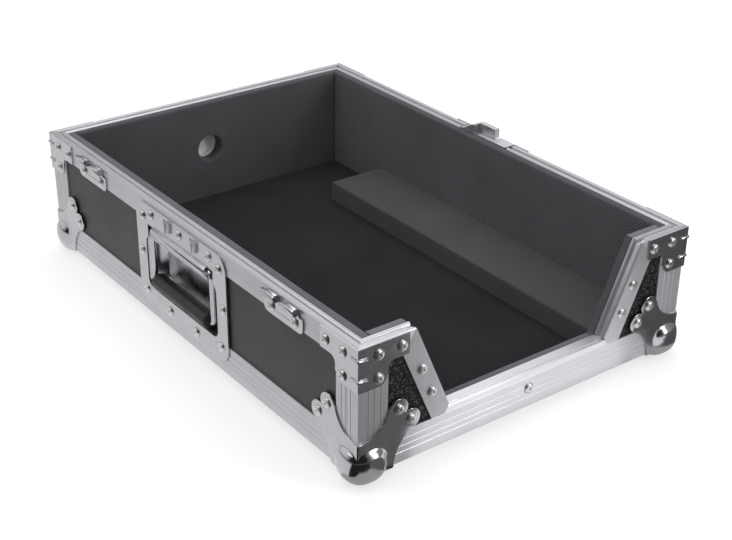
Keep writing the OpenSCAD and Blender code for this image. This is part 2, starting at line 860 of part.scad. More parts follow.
// Wing: half of the key, folded flat on the cam, with its own knuckle on the wing pin
module latch_wing(s) {
    half = wing_h / 2;
    lo = s < 0 ? run / 2 : -knuckle_h;
    color("silver") translate([barrel_x, latch_y, cam_z]) difference() {
        union() {
            translate([0, 0, lo]) cylinder(h = knuckle_h - run / 2, r = barrel_r);
            translate([-wing_t / 2, s < 0 ? -wing_root - 1 : 0, lo])
                cube([wing_t, wing_root + 1, knuckle_h - run / 2]);
            translate([-wing_t / 2, 0, 0]) rotate([90, 0, 90]) linear_extrude(wing_t)
                polygon([[s * wing_root, -half + 3], [s * (wing_l - 4), -half], [s * wing_l, -half + 4],
                    [s * wing_l, half - 4], [s * (wing_l - 4), half], [s * wing_root, half - 3]]);
        }
        translate([0, 0, -knuckle_h - 1]) cylinder(h = 2 * knuckle_h + 2, r = barrel_pin_r + fit);
    }
}

module latch_wing_front() {
    latch_wing(-1);
}

module latch_wing_back() {
    latch_wing(1);
}

// Claw: a sliding plate whose hooked head stands above the rim
module latch_claw() {
    slot_h = 2 * (crank_r + crank_slack);
    slot_w = 2 * (crank + crank_r + 0.6);
    pin_w = 2 * (cam_pin_r + 0.5);
    color("silver") difference() {
        union() {
            translate([claw_x, latch_y - claw_w / 2, claw_low])
                cube([claw_t, claw_w, z1 + claw_up - claw_low]);
            translate([claw_x, latch_y - claw_w / 2, z1 + claw_up - hook_h])
                cube([claw_head, claw_w, hook_h]);
            for (s = [0, 1]) translate([claw_x, latch_y - claw_w / 2 + s * (claw_w - claw_t), z1 + 0.5])
                cube([claw_head, claw_t, claw_up - 0.5]);
        }
        translate([claw_x - 1, latch_y - slot_w / 2, cam_z + crank - slot_h / 2])
            cube([claw_t + 2, slot_w, slot_h]);
        translate([claw_x - 1, latch_y - pin_w / 2, cam_z - pin_w / 2])
            cube([claw_t + 2, pin_w, pin_w + 2 * crank]);
    }
}

// Lining: foam that stands behind the rim and tucks in under its slot
module lining_side() {
    low_top = z1 - foam_tuck;
    union() {
        translate([x0 + rim_w, y0 + rim_w, floor_z])
            cube([lining_t, case_l - 2 * rim_w, case_h - wall_in - foam_drop]);
        translate([x0 + wall_in, y0 + wall_in, floor_z])
            cube([foam_in - wall_in, case_l - 2 * wall_in, low_top - floor_z]);
    }
}

module lining_left() {
    color("dimgray") difference() {
        lining_side();
        translate([x0 - 1, side_y - recess_w / 2 - dish_cut, recess_lo - dish_cut])
            cube([recess_d + 3, recess_w + 2 * dish_cut, dish_back - recess_lo + dish_cut]);
    }
}

module lining_right() {
    color("dimgray") mirror([1, 0, 0]) lining_side();
}

module lining_back() {
    span = case_w - 2 * foam_in;
    color("dimgray") difference() {
        union() {
            translate([x0 + foam_in, y1 - foam_in, floor_z])
                cube([span, lining_t, case_h - wall_in - foam_drop]);
            translate([x0 + foam_in, y1 - foam_in, floor_z])
                cube([span, foam_in - wall_in, z1 - foam_tuck - floor_z]);
        }
        translate([hole_x, y1 + 1, z0 + hole_z]) rotate([90, 0, 0]) cylinder(h = 40, d = hole_d);
    }
}

module front_foam(from, depth, tuck) {
    top = z1 - (tuck ? foam_tuck : foam_drop);
    cut = tuck ? -foam_tuck / cos(slant) : -foam_drop;
    end_x = slant_x(sill_z, 0);
    low = sill_z - (tuck ? foam_tuck : 1);
    translate([0, y0 + from + depth, 0]) rotate([90, 0, 0]) linear_extrude(depth)
        polygon([[x0 + foam_in, floor_z], [end_x, floor_z], [end_x, low],
            [min(end_x, slant_x(low, cut)), low], [slant_x(top, cut), top], [x0 + foam_in, top]]);
}

module lining_front_left() {
    color("dimgray") union() {
        front_foam(rim_w, lining_t, false);
        front_foam(wall_in, foam_in - wall_in, true);
    }
}

module lining_front_right() {
    mirror([1, 0, 0]) lining_front_left();
}

module lining_sill() {
    from = slant_x(sill_z, 0);
    color("dimgray") union() {
        translate([from, y0 + rim_w, floor_z])
            cube([-2 * from, lining_t, sill_z - 1 - floor_z]);
        translate([from, y0 + wall_in, floor_z])
            cube([-2 * from, foam_in - wall_in, sill_z - foam_tuck - floor_z]);
    }
}

module floor_foam() {
    color("dimgray") translate([x0 + foam_in, y0 + foam_in, floor_z])
        cube([case_w - 2 * foam_in, case_l - 2 * foam_in, floor_t]);
}

// Foam blocks that carry the player level with the sill
module support_block_left() {
    color("dimgray") translate([x0 + foam_in, y0 + foam_in, carpet_z])
        cube([block_w, block_l, sill_z - 1 - carpet_z]);
}

module support_block_right() {
    mirror([1, 0, 0]) support_block_left();
}

// Push-in cap that closes the cable hole from outside
module cable_port_cap() {
    flange = 2;
    plug = 5.5;
    wall = 1.6;
    r = hole_d / 2 - fit;
    color("dimgray") translate([hole_x, y1 - metal_t, z0 + hole_z]) rotate([-90, 0, 0])
        rotate_extrude() polygon([[0, 0.2], [0, flange], [r + 3, flange], [r + 4, flange - 1], [r + 4, 0.2],
            [r, 0.2], [r, -plug], [r - wall, -plug], [r - wall, 0.2]]);
}

// Rivets, one group for each kind of hardware
module brace_rivets() {
    color("silver") for (r = [0, 1], b = [0, 1]) at_corner(r, b)
        for (p = brace_rivets_at) {
            translate([p[0], 0, p[1]]) rotate([90, 0, 0]) rivet();
            translate([0, p[0], p[1]]) rotate([0, -90, 0]) rivet();
        }
}

module ball_corner_rivets() {
    color("silver") for (r = [0, 1], b = [0, 1]) at_corner(r, b)
        for (p = [leg_hi, leg_lo]) {
            translate([p[0], 0, p[1]]) rotate([90, 0, 0]) rivet();
            translate([0, p[0], p[1]]) rotate([0, -90, 0]) rivet();
        }
}

module hinge_rivets() {
    color("silver") for (y = hinges_y, s = [-1, 1])
        out_left(y + s * hinge_rivet, z0 + hinge_rivet_z) rivet();
}

module handle_rivets() {
    color("silver") for (p = dish_rivets) out_left(p[0], p[1]) rivet();
}

module latch_rivets() {
    color("silver") for (p = latch_rivet_at) out_right(p[0], p[1]) rivet();
}

// Flat rivets of the slanted trims and the middle of the front profile
module trim_rivets() {
    color("silver") {
        for (m = [0, 1], d = trim_rivets_down) mirror([m, 0, 0])
            out_front(slant_x(z1 - d, -rim_leg / 2), z1 - d) rivet(0);
        out_front(0, front_rivet_z) rivet(0);
    }
}

base_panel();
left_panel();
right_panel();
back_panel();
front_panel();
base_profile_left();
base_profile_right();
base_profile_front();
base_profile_back();
corner_profile_front_left();
corner_profile_front_right();
corner_profile_back_left();
corner_profile_back_right();
rim_left();
rim_right();
rim_back();
rim_front_left();
rim_front_right();
slant_trim_left();
slant_trim_right();
sill_trim();
brace_front_left();
brace_front_right();
brace_back_left();
brace_back_right();
ball_corner_front_left();
ball_corner_front_right();
ball_corner_back_left();
ball_corner_back_right();
hinge_leaf_front();
hinge_leaf_back();
hinge_pins_front();
hinge_pins_back();
handle_dish();
handle_bail();
handle_grip();
handle_spring_front();
handle_spring_back();
latch_dish();
latch_cam();
latch_wing_front();
latch_wing_back();
latch_claw();
lining_left();
lining_right();
lining_back();
lining_front_left();
lining_front_right();
lining_sill();
floor_foam();
support_block_left();
support_block_right();
cable_port_cap();
brace_rivets();
ball_corner_rivets();
hinge_rivets();
handle_rivets();
latch_rivets();
trim_rivets();
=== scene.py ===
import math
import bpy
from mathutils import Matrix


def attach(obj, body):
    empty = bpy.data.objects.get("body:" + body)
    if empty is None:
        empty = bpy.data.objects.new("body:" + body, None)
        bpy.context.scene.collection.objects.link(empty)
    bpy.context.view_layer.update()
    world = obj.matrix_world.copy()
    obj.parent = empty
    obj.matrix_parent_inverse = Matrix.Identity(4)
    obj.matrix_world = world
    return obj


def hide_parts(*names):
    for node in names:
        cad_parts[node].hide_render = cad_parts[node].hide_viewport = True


bl_info = {
    "name": "Disc player case base",
    "version": (1, 0, 0),
    "blender": (4, 5, 0),
    "location": "3D View > Sidebar > Case",
    "description": "Dresses the case base: panels, profiles, hardware, rivets and foam, and lights it",
    "category": "Object",
}

import bmesh
import bpy
import numpy as np
from mathutils import Matrix

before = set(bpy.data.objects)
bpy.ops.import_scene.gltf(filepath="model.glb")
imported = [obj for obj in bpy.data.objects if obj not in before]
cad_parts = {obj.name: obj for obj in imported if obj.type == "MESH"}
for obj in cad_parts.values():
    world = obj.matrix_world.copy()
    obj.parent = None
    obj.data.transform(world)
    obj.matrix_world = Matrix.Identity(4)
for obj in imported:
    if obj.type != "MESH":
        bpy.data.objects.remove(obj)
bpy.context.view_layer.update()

MM = 0.001
# Lengths in millimetres, as in the part's source: the case's faces, the middles of the handle's dish and of the
# latch, the hardware's sheet, the levels of the floor, its foam and the low front, and the gap below the last
X0, X1, Y0, Y1, Z0, Z1 = -187.0, 187.0, -273.0, 273.0, 10.4, 135.4
SIDE_Y, LATCH_Y, PLATE = 3.5, -3.0, 1.5
FLOOR_Z, CARPET_Z, SILL_Z, SILL_GAP = 18.9, 22.9, 46.7, 1.0
# The lining: its back, in from the case's faces, its thickness, and the clear half width and length inside it.
# Below LOW_TOP its back steps out to the wall, except within STEP_END of the case's ends
LINING_IN, LINING_T, LINING_STEP, STEP_END = 13.5, 8.0, 5.0, 20
INNER_X, INNER_Y = X1 - LINING_IN - LINING_T, Y1 - LINING_IN - LINING_T
LOW_TOP, FOAM_TOP = 116.9, 134.4
# Pocket in the lining behind the dish: half width, ends and depth; then the cable hole and the blocks' edges
POCKET_HALF, POCKET_LOW, POCKET_HIGH, POCKET_DEEP = 66.5, 40.4, 113.4, 3.5
HOLE_X, HOLE_Z, HOLE_R = -7.0, 80.0, 15.0
BLOCK_X, BLOCK_Y = 95.5, 159.5
# Width over which a step in the foam is drawn, and the room left for its unevenness, in linings and in pads
SHARP, ROOM, PAD_ROOM = 0.05, 0.25, 0.2
# The slanted edge: angle from upright, and distance from the side at the rim
SLANT, CUT_TOP = math.radians(23.5), 58.3
# The handle's grip: middle, half length and bore
GRIP_AT, GRIP_HALF, GRIP_BORE = (-186.3, SIDE_Y, 53.4), 49.0, 3.1
# Rounding of the sharp edges of the profiles and of the cap, in metres
PROFILE_EDGE = 0.0002
CORNERS = [(end, side) for end in ("front", "back") for side in ("left", "right")]

# Rivets: in from a corner and up from the lower edge, or away from the middle of a piece, and height
BRACE_RIVETS = (19, 114), (42.5, 114), (19, 92)
BALL_RIVETS = (40.5, 54.5), (53.5, 40.5)
HINGES_Y, HINGE_RIVET = (-169.5, 176.5), (17.5, Z0 + 109)
HANDLE_RIVETS = [(d, Z0 + h) for d, h in ((69, 106), (74, 67), (69, 26), (24.5, 20.5), (52.5, 112), (0, 112))]
LATCH_RIVETS = (45, Z1 - 12), (45, Z1 - 63), (40, Z0 + 24), (0, Z0 + 24)
TRIM_RIVETS, TRIM_RIVET_IN, SILL_RIVET = (Z1 - 41.5, Z1 - 67), 10.5, Z0 + 19.3


# ---- sizes and colours


class CaseSizes(bpy.types.PropertyGroup):
    rivet_radius: bpy.props.FloatProperty(
        name="Rivet radius", description="Radius of a rivet's head", default=0.005, unit="LENGTH")
    rivet_height: bpy.props.FloatProperty(
        name="Rivet height", description="Height of a rivet's head", default=0.0022, unit="LENGTH")
    rivet_pit: bpy.props.FloatProperty(
        name="Rivet pit", description="Radius of the open middle of a rivet", default=0.0009, unit="LENGTH")
    foam_edge: bpy.props.FloatProperty(
        name="Foam edge", description="Rounding of the foam's cut edges", default=0.0018, unit="LENGTH")
    grip_radius: bpy.props.FloatProperty(
        name="Grip radius", description="Radius of the handle's grip", default=0.008, unit="LENGTH")
    plate_edge: bpy.props.FloatProperty(
        name="Plate edge", description="Rounding of the sheet metal's edges", default=0.00025, unit="LENGTH")
    emboss_pitch: bpy.props.FloatProperty(
        name="Emboss pitch", description="Pitch of the laminate's embossed hexagons", default=0.009,
        unit="LENGTH")
    rib_pitch: bpy.props.FloatProperty(
        name="Rib pitch", description="Pitch of the lining's fine ribs", default=0.0026, unit="LENGTH")


class CaseColours(bpy.types.PropertyGroup):
    laminate: bpy.props.FloatVectorProperty(
        name="Laminate", description="Face of the panels", subtype="COLOR", size=3,
        default=(0.034, 0.034, 0.0375))
    profile: bpy.props.FloatVectorProperty(
        name="Profile", description="Satin aluminium", subtype="COLOR", size=3, default=(0.59, 0.595, 0.62))
    plate: bpy.props.FloatVectorProperty(
        name="Plate", description="Plated steel", subtype="COLOR", size=3, default=(0.515, 0.52, 0.54))
    rivet: bpy.props.FloatVectorProperty(
        name="Rivet", description="Rivet heads", subtype="COLOR", size=3, default=(0.68, 0.68, 0.69))
    rubber: bpy.props.FloatVectorProperty(
        name="Rubber", description="Grip of the handle", subtype="COLOR", size=3, default=(0.008, 0.008, 0.009))
    foam: bpy.props.FloatVectorProperty(
        name="Foam", description="Lining and blocks", subtype="COLOR", size=3, default=(0.05, 0.05, 0.056))
    floor_foam: bpy.props.FloatVectorProperty(
        name="Floor foam", description="Foam on the floor", subtype="COLOR", size=3,
        default=(0.0245, 0.0245, 0.028))
    cap: bpy.props.FloatVectorProperty(
        name="Cap", description="Cap of the cable hole", subtype="COLOR", size=3, default=(0.78, 0.78, 0.8))


class CaseStudio(bpy.types.PropertyGroup):
    lens: bpy.props.FloatProperty(
        name="Lens", description="Focal length on a 36 mm wide sensor", default=67.49, unit="CAMERA")
    fill: bpy.props.FloatProperty(
        name="Fill", description="Level of the light from all round", default=0.55)
    softbox: bpy.props.FloatProperty(
        name="Softbox", description="Power of the large softbox overhead", default=12.0, unit="POWER")
    key: bpy.props.FloatProperty(
        name="Key", description="Power of the tall softbox in front", default=13.5, unit="POWER")
    side: bpy.props.FloatProperty(
        name="Side", description="Power of the softbox at the left", default=3.0, unit="POWER")


def sizes():
    return bpy.context.scene.case_sizes


def colours():
    return bpy.context.scene.case_colours


def studio():
    return bpy.context.scene.case_studio


# ---- surfaces


def quads(nu, nv, wrap_u=False, wrap_v=False, start=0):
    """Faces of a grid: point (i, j) has index start + i * nv + j, and each cell joins it to its next ones"""
    i = np.arange(nu if wrap_u else nu - 1)[:, None]
    j = np.arange(nv if wrap_v else nv - 1)[None, :]
    i2, j2 = (i + 1) % nu, (j + 1) % nv
    cell = [i * nv + j, i2 * nv + j, i2 * nv + j2, i * nv + j2]
    return np.stack([c + 0 * (i + j) for c in cell], -1).reshape(-1, 4) + start


def new_object(name, data):
    thing = bpy.data.objects.new(name, data)
    bpy.context.scene.collection.objects.link(thing)
    return thing


def make_piece(name, points, faces, material, body, sharp):
    """A mesh object from points in millimetres, without doubles, normals outwards, sharp over an angle"""
    mesh = bpy.data.meshes.new(name)
    faces = faces if isinstance(faces, list) else faces.tolist()
    mesh.from_pydata((np.asarray(points).reshape(-1, 3) * MM).tolist(), [], faces)
    edit = bmesh.new()
    edit.from_mesh(mesh)
    bmesh.ops.remove_doubles(edit, verts=edit.verts, dist=2e-6)
    bmesh.ops.dissolve_degenerate(edit, edges=edit.edges, dist=1e-7)
    bmesh.ops.recalc_face_normals(edit, faces=edit.faces)
    edit.to_mesh(mesh)
    edit.free()
    mesh.shade_smooth()
    mesh.set_sharp_from_angle(angle=math.radians(sharp))
    piece = new_object(name, mesh)
    mesh.materials.append(material)
    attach(piece, body)
    return piece


def unit(v):
    return v / np.linalg.norm(v, axis=-1, keepdims=True)


def lathe(outline, centres, outs, sides):
    """Copies of one turned shape: centre + out * h + r * (a cos t + b sin t) for each (r, h) of the outline,
    with a and b square to out. Returns points and faces"""
    centres, outs = np.atleast_2d(centres).astype(float), unit(np.atleast_2d(outs).astype(float))
    guide = np.where(np.abs(outs[:, 2:3]) > 0.9, [[1.0, 0.0, 0.0]], [[0.0, 0.0, 1.0]])
    a = unit(np.cross(guide, outs))
    b = np.cross(outs, a)
    t = np.linspace(0, 2 * np.pi, sides, endpoint=False)[None, :, None, None]
    r, h = np.asarray(outline, float).T[:, None, None, :, None]
    vec = lambda v: v[:, None, None, :]
    points = vec(centres) + vec(outs) * h + r * (vec(a) * np.cos(t) + vec(b) * np.sin(t))
    k, n, m = points.shape[:3]
    faces = np.concatenate([quads(n, m, True, False, c * n * m) for c in range(k)])
    return points, faces


def spread(length, edge, step):
    """Places from 0 to length: close together over a rounded edge at both ends, then about a step apart"""
    turn = edge * (1 - np.cos(np.linspace(0, np.pi / 2, 6)))
    middle = np.linspace(edge, length - edge, max(2, int((length - 2 * edge) / step) + 1))
    return np.concatenate([turn[:-1], middle, (length - turn)[::-1][1:]])


def rounded(distance, edge):
    """How far a rounded edge falls below the face, at a distance from the rim: r - sqrt(r^2 - (r - d)^2)"""
    lack = np.clip(edge - distance, 0, edge)
    return edge - np.sqrt(np.maximum(edge * edge - lack * lack, 0))


def skin(outer, inner, wrap=False):
    """Points and faces of a closed pad: a grid of points outside, whose rim lies on that of the grid inside"""
    points = np.concatenate([outer.reshape(-1, 3), inner.reshape(-1, 3)])
    behind = quads(*inner.shape[:2], wrap_u=wrap, start=outer[..., 0].size)[:, ::-1]
    return points, np.concatenate([quads(*outer.shape[:2], wrap_u=wrap), behind])


def pad_shell(s, t, front, back, place):
    """Closed pad between two height fields over (s, t): the front sheet is folded down to the back along its
    rim. place turns (s, t, height) into the model's x, y, z"""
    wide = lambda v: np.pad(v, 1, mode="edge")
    s2, t2, high, low = wide(s), wide(t), wide(front), wide(back)
    high = np.where(np.pad(np.zeros(s.shape, bool), 1, constant_values=True), low, high)
    return skin(np.stack(place(s2, t2, high), -1), np.stack(place(s, t, back), -1))


def slack(s, t, size):
    """Slow unevenness of cut foam: a sum of three sine waves that don't line up, at most size high"""
    return size / 3 * (np.sin(s / 31 + t / 47) + np.sin(s / 53 - t / 23 + 1.7) + np.sin(s / 17 + t / 67 + 0.6))


# ---- material helpers


class Plan:
    """Adds nodes to a tree: a value given as a socket is linked, and any other is set"""

    def __init__(self, tree):
        self.tree = tree

    def add(self, kind, values=None, out=0, **settings):
        """A ShaderNode of a kind, or one of its outputs"""
        node = self.tree.nodes.new("ShaderNode" + kind)
        for key, value in settings.items():
            setattr(node, key, value)
        for key, value in (values or {}).items():
            if isinstance(value, bpy.types.NodeSocket):
                self.link(value, node.inputs[key])
            else:
                node.inputs[key].default_value = value
        return node if out is None else node.outputs[out]

    def link(self, source, socket):
        self.tree.links.new(source, socket)

    def noise(self, vector, scale, detail=2.0, out=0):
        return self.add("TexNoise", {"Vector": vector, "Scale": scale, "Detail": detail}, out)

    def math(self, operation, *values):
        return self.add("Math", dict(enumerate(values)), operation=operation)

    def vector(self, operation, *values, out=0):
        return self.add("VectorMath", dict(enumerate(values)), out, operation=operation)

    def remap(self, value, low, high, to_low, to_high):
        values = {"Value": value, "From Min": low, "From Max": high, "To Min": to_low, "To Max": to_high}
        return self.add("MapRange", values)

    def mix(self, factor, a, b):
        """Colour a, or b where factor is 1"""
        opaque = lambda value: value if isinstance(value, bpy.types.NodeSocket) else (*value, 1.0)
        return self.add("Mix", {0: factor, 6: opaque(a), 7: opaque(b)}, 2, data_type="RGBA")

    def group(self, name, **values):
        """The outputs of a shared effect"""
        return self.add("Group", values, None, node_tree=bpy.data.node_groups[name]).outputs


def new_group(name, inputs, outputs):
    tree = bpy.data.node_groups.new(name, "ShaderNodeTree")
    for label, value in inputs.items():
        kind = "NodeSocketVector" if value is None else "NodeSocketFloat"
        socket = tree.interface.new_socket(name=label, in_out="INPUT", socket_type=kind)
        if value is not None:
            socket.default_value = value
    for label in outputs:
        tree.interface.new_socket(name=label, in_out="OUTPUT", socket_type="NodeSocketFloat")
    plan = Plan(tree)
    return plan, tree.nodes.new("NodeGroupInput").outputs, tree.nodes.new("NodeGroupOutput").inputs


def build_groups():
    """The effects that several finishes share"""
    # Cloudy smudges and fine grain of a handled surface
    inputs = {"Vector": None, "Cloud": 40.0, "Grain": 1500.0}
    plan, given, put = new_group("handled surface", inputs, ["Smudge", "Grain"])
    cloud = plan.noise(given["Vector"], given["Cloud"], 4.0)
    plan.link(plan.remap(cloud, 0.3, 0.7, 0.0, 1.0), put["Smudge"])
    plan.link(plan.noise(given["Vector"], given["Grain"]), put["Grain"])

    # Fine scratches: thin cell borders of a bent lattice, only where a cloud allows them
    plan, given, put = new_group("scratches", {"Vector": None, "Scale": 60.0}, ["Scratch"])
    bend = plan.vector("MULTIPLY", plan.noise(given["Vector"], 25.0, out=1), (0.012, 0.012, 0.012))
    values = {"Vector": plan.vector("ADD", given["Vector"], bend), "Scale": given["Scale"]}
    cells = plan.add("TexVoronoi", values, feature="DISTANCE_TO_EDGE")
    cloud = plan.noise(given["Vector"], 18.0, 3.0)
    line = plan.remap(cells, 0.0, 0.02, 1.0, 0.0)
    plan.link(plan.math("MULTIPLY", line, plan.remap(cloud, 0.52, 0.62, 0.0, 1.0)), put["Scratch"])

    # Draw lines of an extrusion: noise that is stretched along the profile by the vector that comes in
    plan, given, put = new_group("draw lines", {"Vector": None}, ["Line", "Broad"])
    wide = plan.vector("MULTIPLY", given["Vector"], (0.16, 0.16, 0.16))
    plan.link(plan.noise(given["Vector"], 1.0, 3.0), put["Line"])
    plan.link(plan.noise(wide, 1.0, 1.0), put["Broad"])

    # Embossed hexagons: the smaller distance to two rows of points that are set half a pitch apart
    plan, given, put = new_group("embossed hexagons", {"Vector": None, "Pitch": 0.009}, ["Height"])
    size = (1.0, math.sqrt(3.0), 1.0)
    spot = plan.vector("DIVIDE", plan.vector("DIVIDE", given["Vector"], given["Pitch"]), size)
    reach = []
    for shift in (0.0, 0.5):
        cell = plan.vector("FRACTION", plan.vector("ADD", spot, (shift, shift, 0.0)))
        cell = plan.vector("MULTIPLY", plan.vector("SUBTRACT", cell, (0.5, 0.5, 0.5)), size)
        flat = plan.vector("ABSOLUTE", plan.vector("MULTIPLY", cell, (1.0, 1.0, 0.0)))
        slope = plan.vector("DOT_PRODUCT", flat, (0.5, math.sqrt(0.75), 0.0), out=1)
        across = plan.vector("DOT_PRODUCT", flat, (1.0, 0.0, 0.0), out=1)
        reach.append(plan.math("MAXIMUM", slope, across))
    plan.link(plan.remap(plan.math("MINIMUM", *reach), 0.38, 0.47, 1.0, 0.0), put["Height"])

    # Foam: open cells over a slow cloud
    plan, given, put = new_group("foam cells", {"Vector": None, "Cell": 900.0}, ["Height", "Shade"])
    cells = plan.add("TexVoronoi", {"Vector": given["Vector"], "Scale": given["Cell"]})
    fuzz = plan.noise(given["Vector"], given["Cell"], 3.0)
    cloud = plan.noise(given["Vector"], 14.0, 5.0)
    height = plan.math("MULTIPLY_ADD", cells, 0.6, plan.math("MULTIPLY", fuzz, 0.6))
    plan.link(height, put["Height"])
    cloud, depth = plan.remap(cloud, 0.3, 0.7, 0.85, 1.15), plan.remap(height, 0.2, 0.9, 0.75, 1.2)
    plan.link(plan.math("MULTIPLY", cloud, depth), put["Shade"])


def new_material(name, roughness, metallic, spec=0.5):
    material = bpy.data.materials.new(name)
    material.use_nodes = True
    plan = Plan(material.node_tree)
    shader = material.node_tree.nodes["Principled BSDF"]
    shader.inputs["Roughness"].default_value = roughness
    shader.inputs["Metallic"].default_value = metallic
    shader.inputs["Specular IOR Level"].default_value = spec
    return plan, shader, plan.add("TexCoord", out="Object")


def connect(plan, shader, **sockets):
    for key, value in sockets.items():
        plan.link(value, shader.inputs[key.replace("_", " ")])


def bumped(plan, height, strength, distance, under=None):
    values = {"Height": height, "Strength": strength, "Distance": distance}
    if under is not None:
        values["Normal"] = under
    return plan.add("Bump", values)


def scaled(colour, factor):
    return tuple(min(1.0, c * factor) for c in colour)


def laminate(name, across, up, painted_shade_and_spec=1.0, glints=0.5, sparse=0.6, relief=0.4):
    """Dark laminate on hexagons that are embossed in the plane of the axes across and up. Light spots on the
    hexagons are painted glints, fewer with a higher sparse; the hexagons are lighter than their grooves as
    painted shade; a factor below 1 after up scales colour and specular down for a darker copy: painted shade"""
    plan, shader, place = new_material(name, 0.5, 0.0, 0.45 * painted_shade_and_spec)
    axes = plan.add("SeparateXYZ", {"Vector": place}, None).outputs
    flat = plan.add("CombineXYZ", {"X": axes[across], "Y": axes[up], "Z": 0.0})
    height = plan.group("embossed hexagons", Vector=flat, Pitch=sizes().emboss_pitch)["Height"]
    hand = plan.group("handled surface", Vector=place, Cloud=22.0, Grain=1800.0)
    # dark and light are scaled down for the panels' ends: painted shade
    dark, light, pale = (scaled(colours().laminate, level) for level in (0.7 * painted_shade_and_spec, 1.25 * painted_shade_and_spec, 4.0))
    # Light spots of the pale colour on the hexagons: painted glints
    painted_glints = plan.noise(place, 750.0, 1.0)
    painted_glints = plan.math("MULTIPLY", plan.remap(painted_glints, sparse, sparse + 0.15, 0.0, glints), height)
    # The hexagons are lighter than the grooves between them: painted shade
    tone = plan.math("MULTIPLY_ADD", height, relief, plan.math("MULTIPLY", hand["Smudge"], 0.5))
    rough = plan.math("ADD", plan.remap(height, 0.0, 1.0, 0.46 + 0.35 * relief, 0.46),
                      plan.remap(hand["Smudge"], 0.0, 1.0, -0.04, 0.06))
    fine = bumped(plan, hand["Grain"], 0.35, 0.0003)
    base = plan.mix(painted_glints, plan.mix(tone, dark, light), pale)
    connect(plan, shader, Base_Color=base, Roughness=rough, Normal=bumped(plan, height, relief, 0.00025, fine))


def extrusion(name, axis, polish_and_painted_light=0.0):
    """Satin aluminium profile, drawn along an axis: its gloss spreads across the draw lines. The third argument
    makes a profile smoother, and its colour brighter as painted light"""
    plan, shader, place = new_material(name, 0.4, 0.72 + 0.2 * polish_and_painted_light)
    shader.inputs["Anisotropic"].default_value = 0.75
    shader.inputs["Anisotropic Rotation"].default_value = 0.25
    plan.link(plan.add("CombineXYZ", {axis: 1.0}), shader.inputs["Tangent"])
    stretch = np.where(np.arange(3) == axis, 6.0, 1400.0).tolist()
    drawn = plan.add("Mapping", {"Vector": place, "Scale": stretch})
    lines = plan.group("draw lines", Vector=drawn)
    smudge = plan.group("handled surface", Vector=place, Cloud=30.0, Grain=1500.0)["Smudge"]
    scratch = plan.group("scratches", Vector=place, Scale=45.0)["Scratch"]
    tone = plan.math("MULTIPLY_ADD", lines["Broad"], 0.7, plan.math("MULTIPLY", smudge, 0.3))
    # The colour is brighter for the sill and the low front: painted light
    dark, light = (scaled(colours().profile, level + 0.4 * polish_and_painted_light) for level in (0.86, 1.12))
    even = plan.remap(lines["Line"], 0.3, 0.7, 0.34 - 0.1 * polish_and_painted_light, 0.48 - 0.1 * polish_and_painted_light)
    rough = plan.math("MULTIPLY_ADD", scratch, 0.12, even)
    relief = bumped(plan, lines["Line"], 0.16 - 0.1 * polish_and_painted_light, 0.0002)
    connect(plan, shader, Base_Color=plan.mix(tone, dark, light), Roughness=rough, Normal=relief)


def plated(name, roughness, colour):
    """Bright plated steel: fine orange peel, smudges in the gloss and a few scratches"""
    plan, shader, place = new_material(name, roughness, 1.0)
    hand = plan.group("handled surface", Vector=place, Cloud=55.0, Grain=700.0)
    scratch = plan.group("scratches", Vector=place, Scale=80.0)["Scratch"]
    base = plan.mix(hand["Smudge"], scaled(colour, 0.92), scaled(colour, 1.06))
    base = plan.mix(plan.math("MULTIPLY", scratch, 0.5), base, scaled(colour, 1.25))
    even = plan.remap(hand["Smudge"], 0.0, 1.0, roughness * 0.8, roughness * 1.35)
    rough = plan.math("MULTIPLY_ADD", scratch, 0.15, even)
    connect(plan, shader, Base_Color=base, Roughness=rough, Normal=bumped(plan, hand["Grain"], 0.05, 0.0003))


def foam_finish(name, colour, ribs=None, cell=900.0, sheen=0.2, painted_top_light=None):
    """Cut foam; ribs gives the direction in which fine ribs follow each other, in the model's axes, their crests
    lighter and their troughs darker as painted light and shade; the last argument scales the colour of the
    faces that look up: painted light above 1, painted shade below 1"""
    plan, shader, place = new_material(name, 0.92, 0.0, sheen)
    shader.inputs["Sheen Weight"].default_value = sheen
    shader.inputs["Sheen Roughness"].default_value = 0.6
    cells = plan.group("foam cells", Vector=place, Cell=cell)
    shade, low = cells["Shade"], bumped(plan, cells["Height"], 0.5, 0.0004)
    if painted_top_light:
        # Faces that look up: colour scaled, painted light on the lining and the front, painted shade on the back
        # and the ribbed wall
        normal = plan.add("NewGeometry", out="Normal")
        rise = plan.add("SeparateXYZ", {"Vector": normal}, "Z")
        shade = plan.math("MULTIPLY", shade, plan.remap(rise, 0.7, 0.95, 1.0, painted_top_light))
    if ribs:
        # Ribs: crests lighter and troughs darker in colour, painted light and shade, besides their bump
        along = plan.vector("DOT_PRODUCT", place, ribs, out=1)
        turn = 2 * math.pi / sizes().rib_pitch
        wave = plan.remap(plan.math("SINE", plan.math("MULTIPLY", along, turn)), -1.0, 1.0, 0.0, 1.0)
        shade = plan.math("MULTIPLY", shade, plan.remap(wave, 0.0, 1.0, 0.72, 1.28))
        low = bumped(plan, wave, 0.6, 0.0006, low)
    tone = plan.remap(shade, 0.5, 3.0, 0.0, 1.0)
    connect(plan, shader, Base_Color=plan.mix(tone, scaled(colour, 0.55), scaled(colour, 2.9)), Normal=low)


def moulded(name, colour, roughness, grain_size):
    """Moulded rubber or plastic with a fine spark-eroded grain"""
    plan, shader, place = new_material(name, roughness, 0.0)
    hand = plan.group("handled surface", Vector=place, Cloud=60.0, Grain=grain_size)
    base = plan.mix(hand["Smudge"], scaled(colour, 0.85), scaled(colour, 1.2))
    rough = plan.remap(hand["Smudge"], 0.0, 1.0, roughness * 0.85, roughness * 1.2)
    connect(plan, shader, Base_Color=base, Roughness=rough, Normal=bumped(plan, hand["Grain"], 0.3, 0.0002))


def finish(name):
    return bpy.data.materials[name]


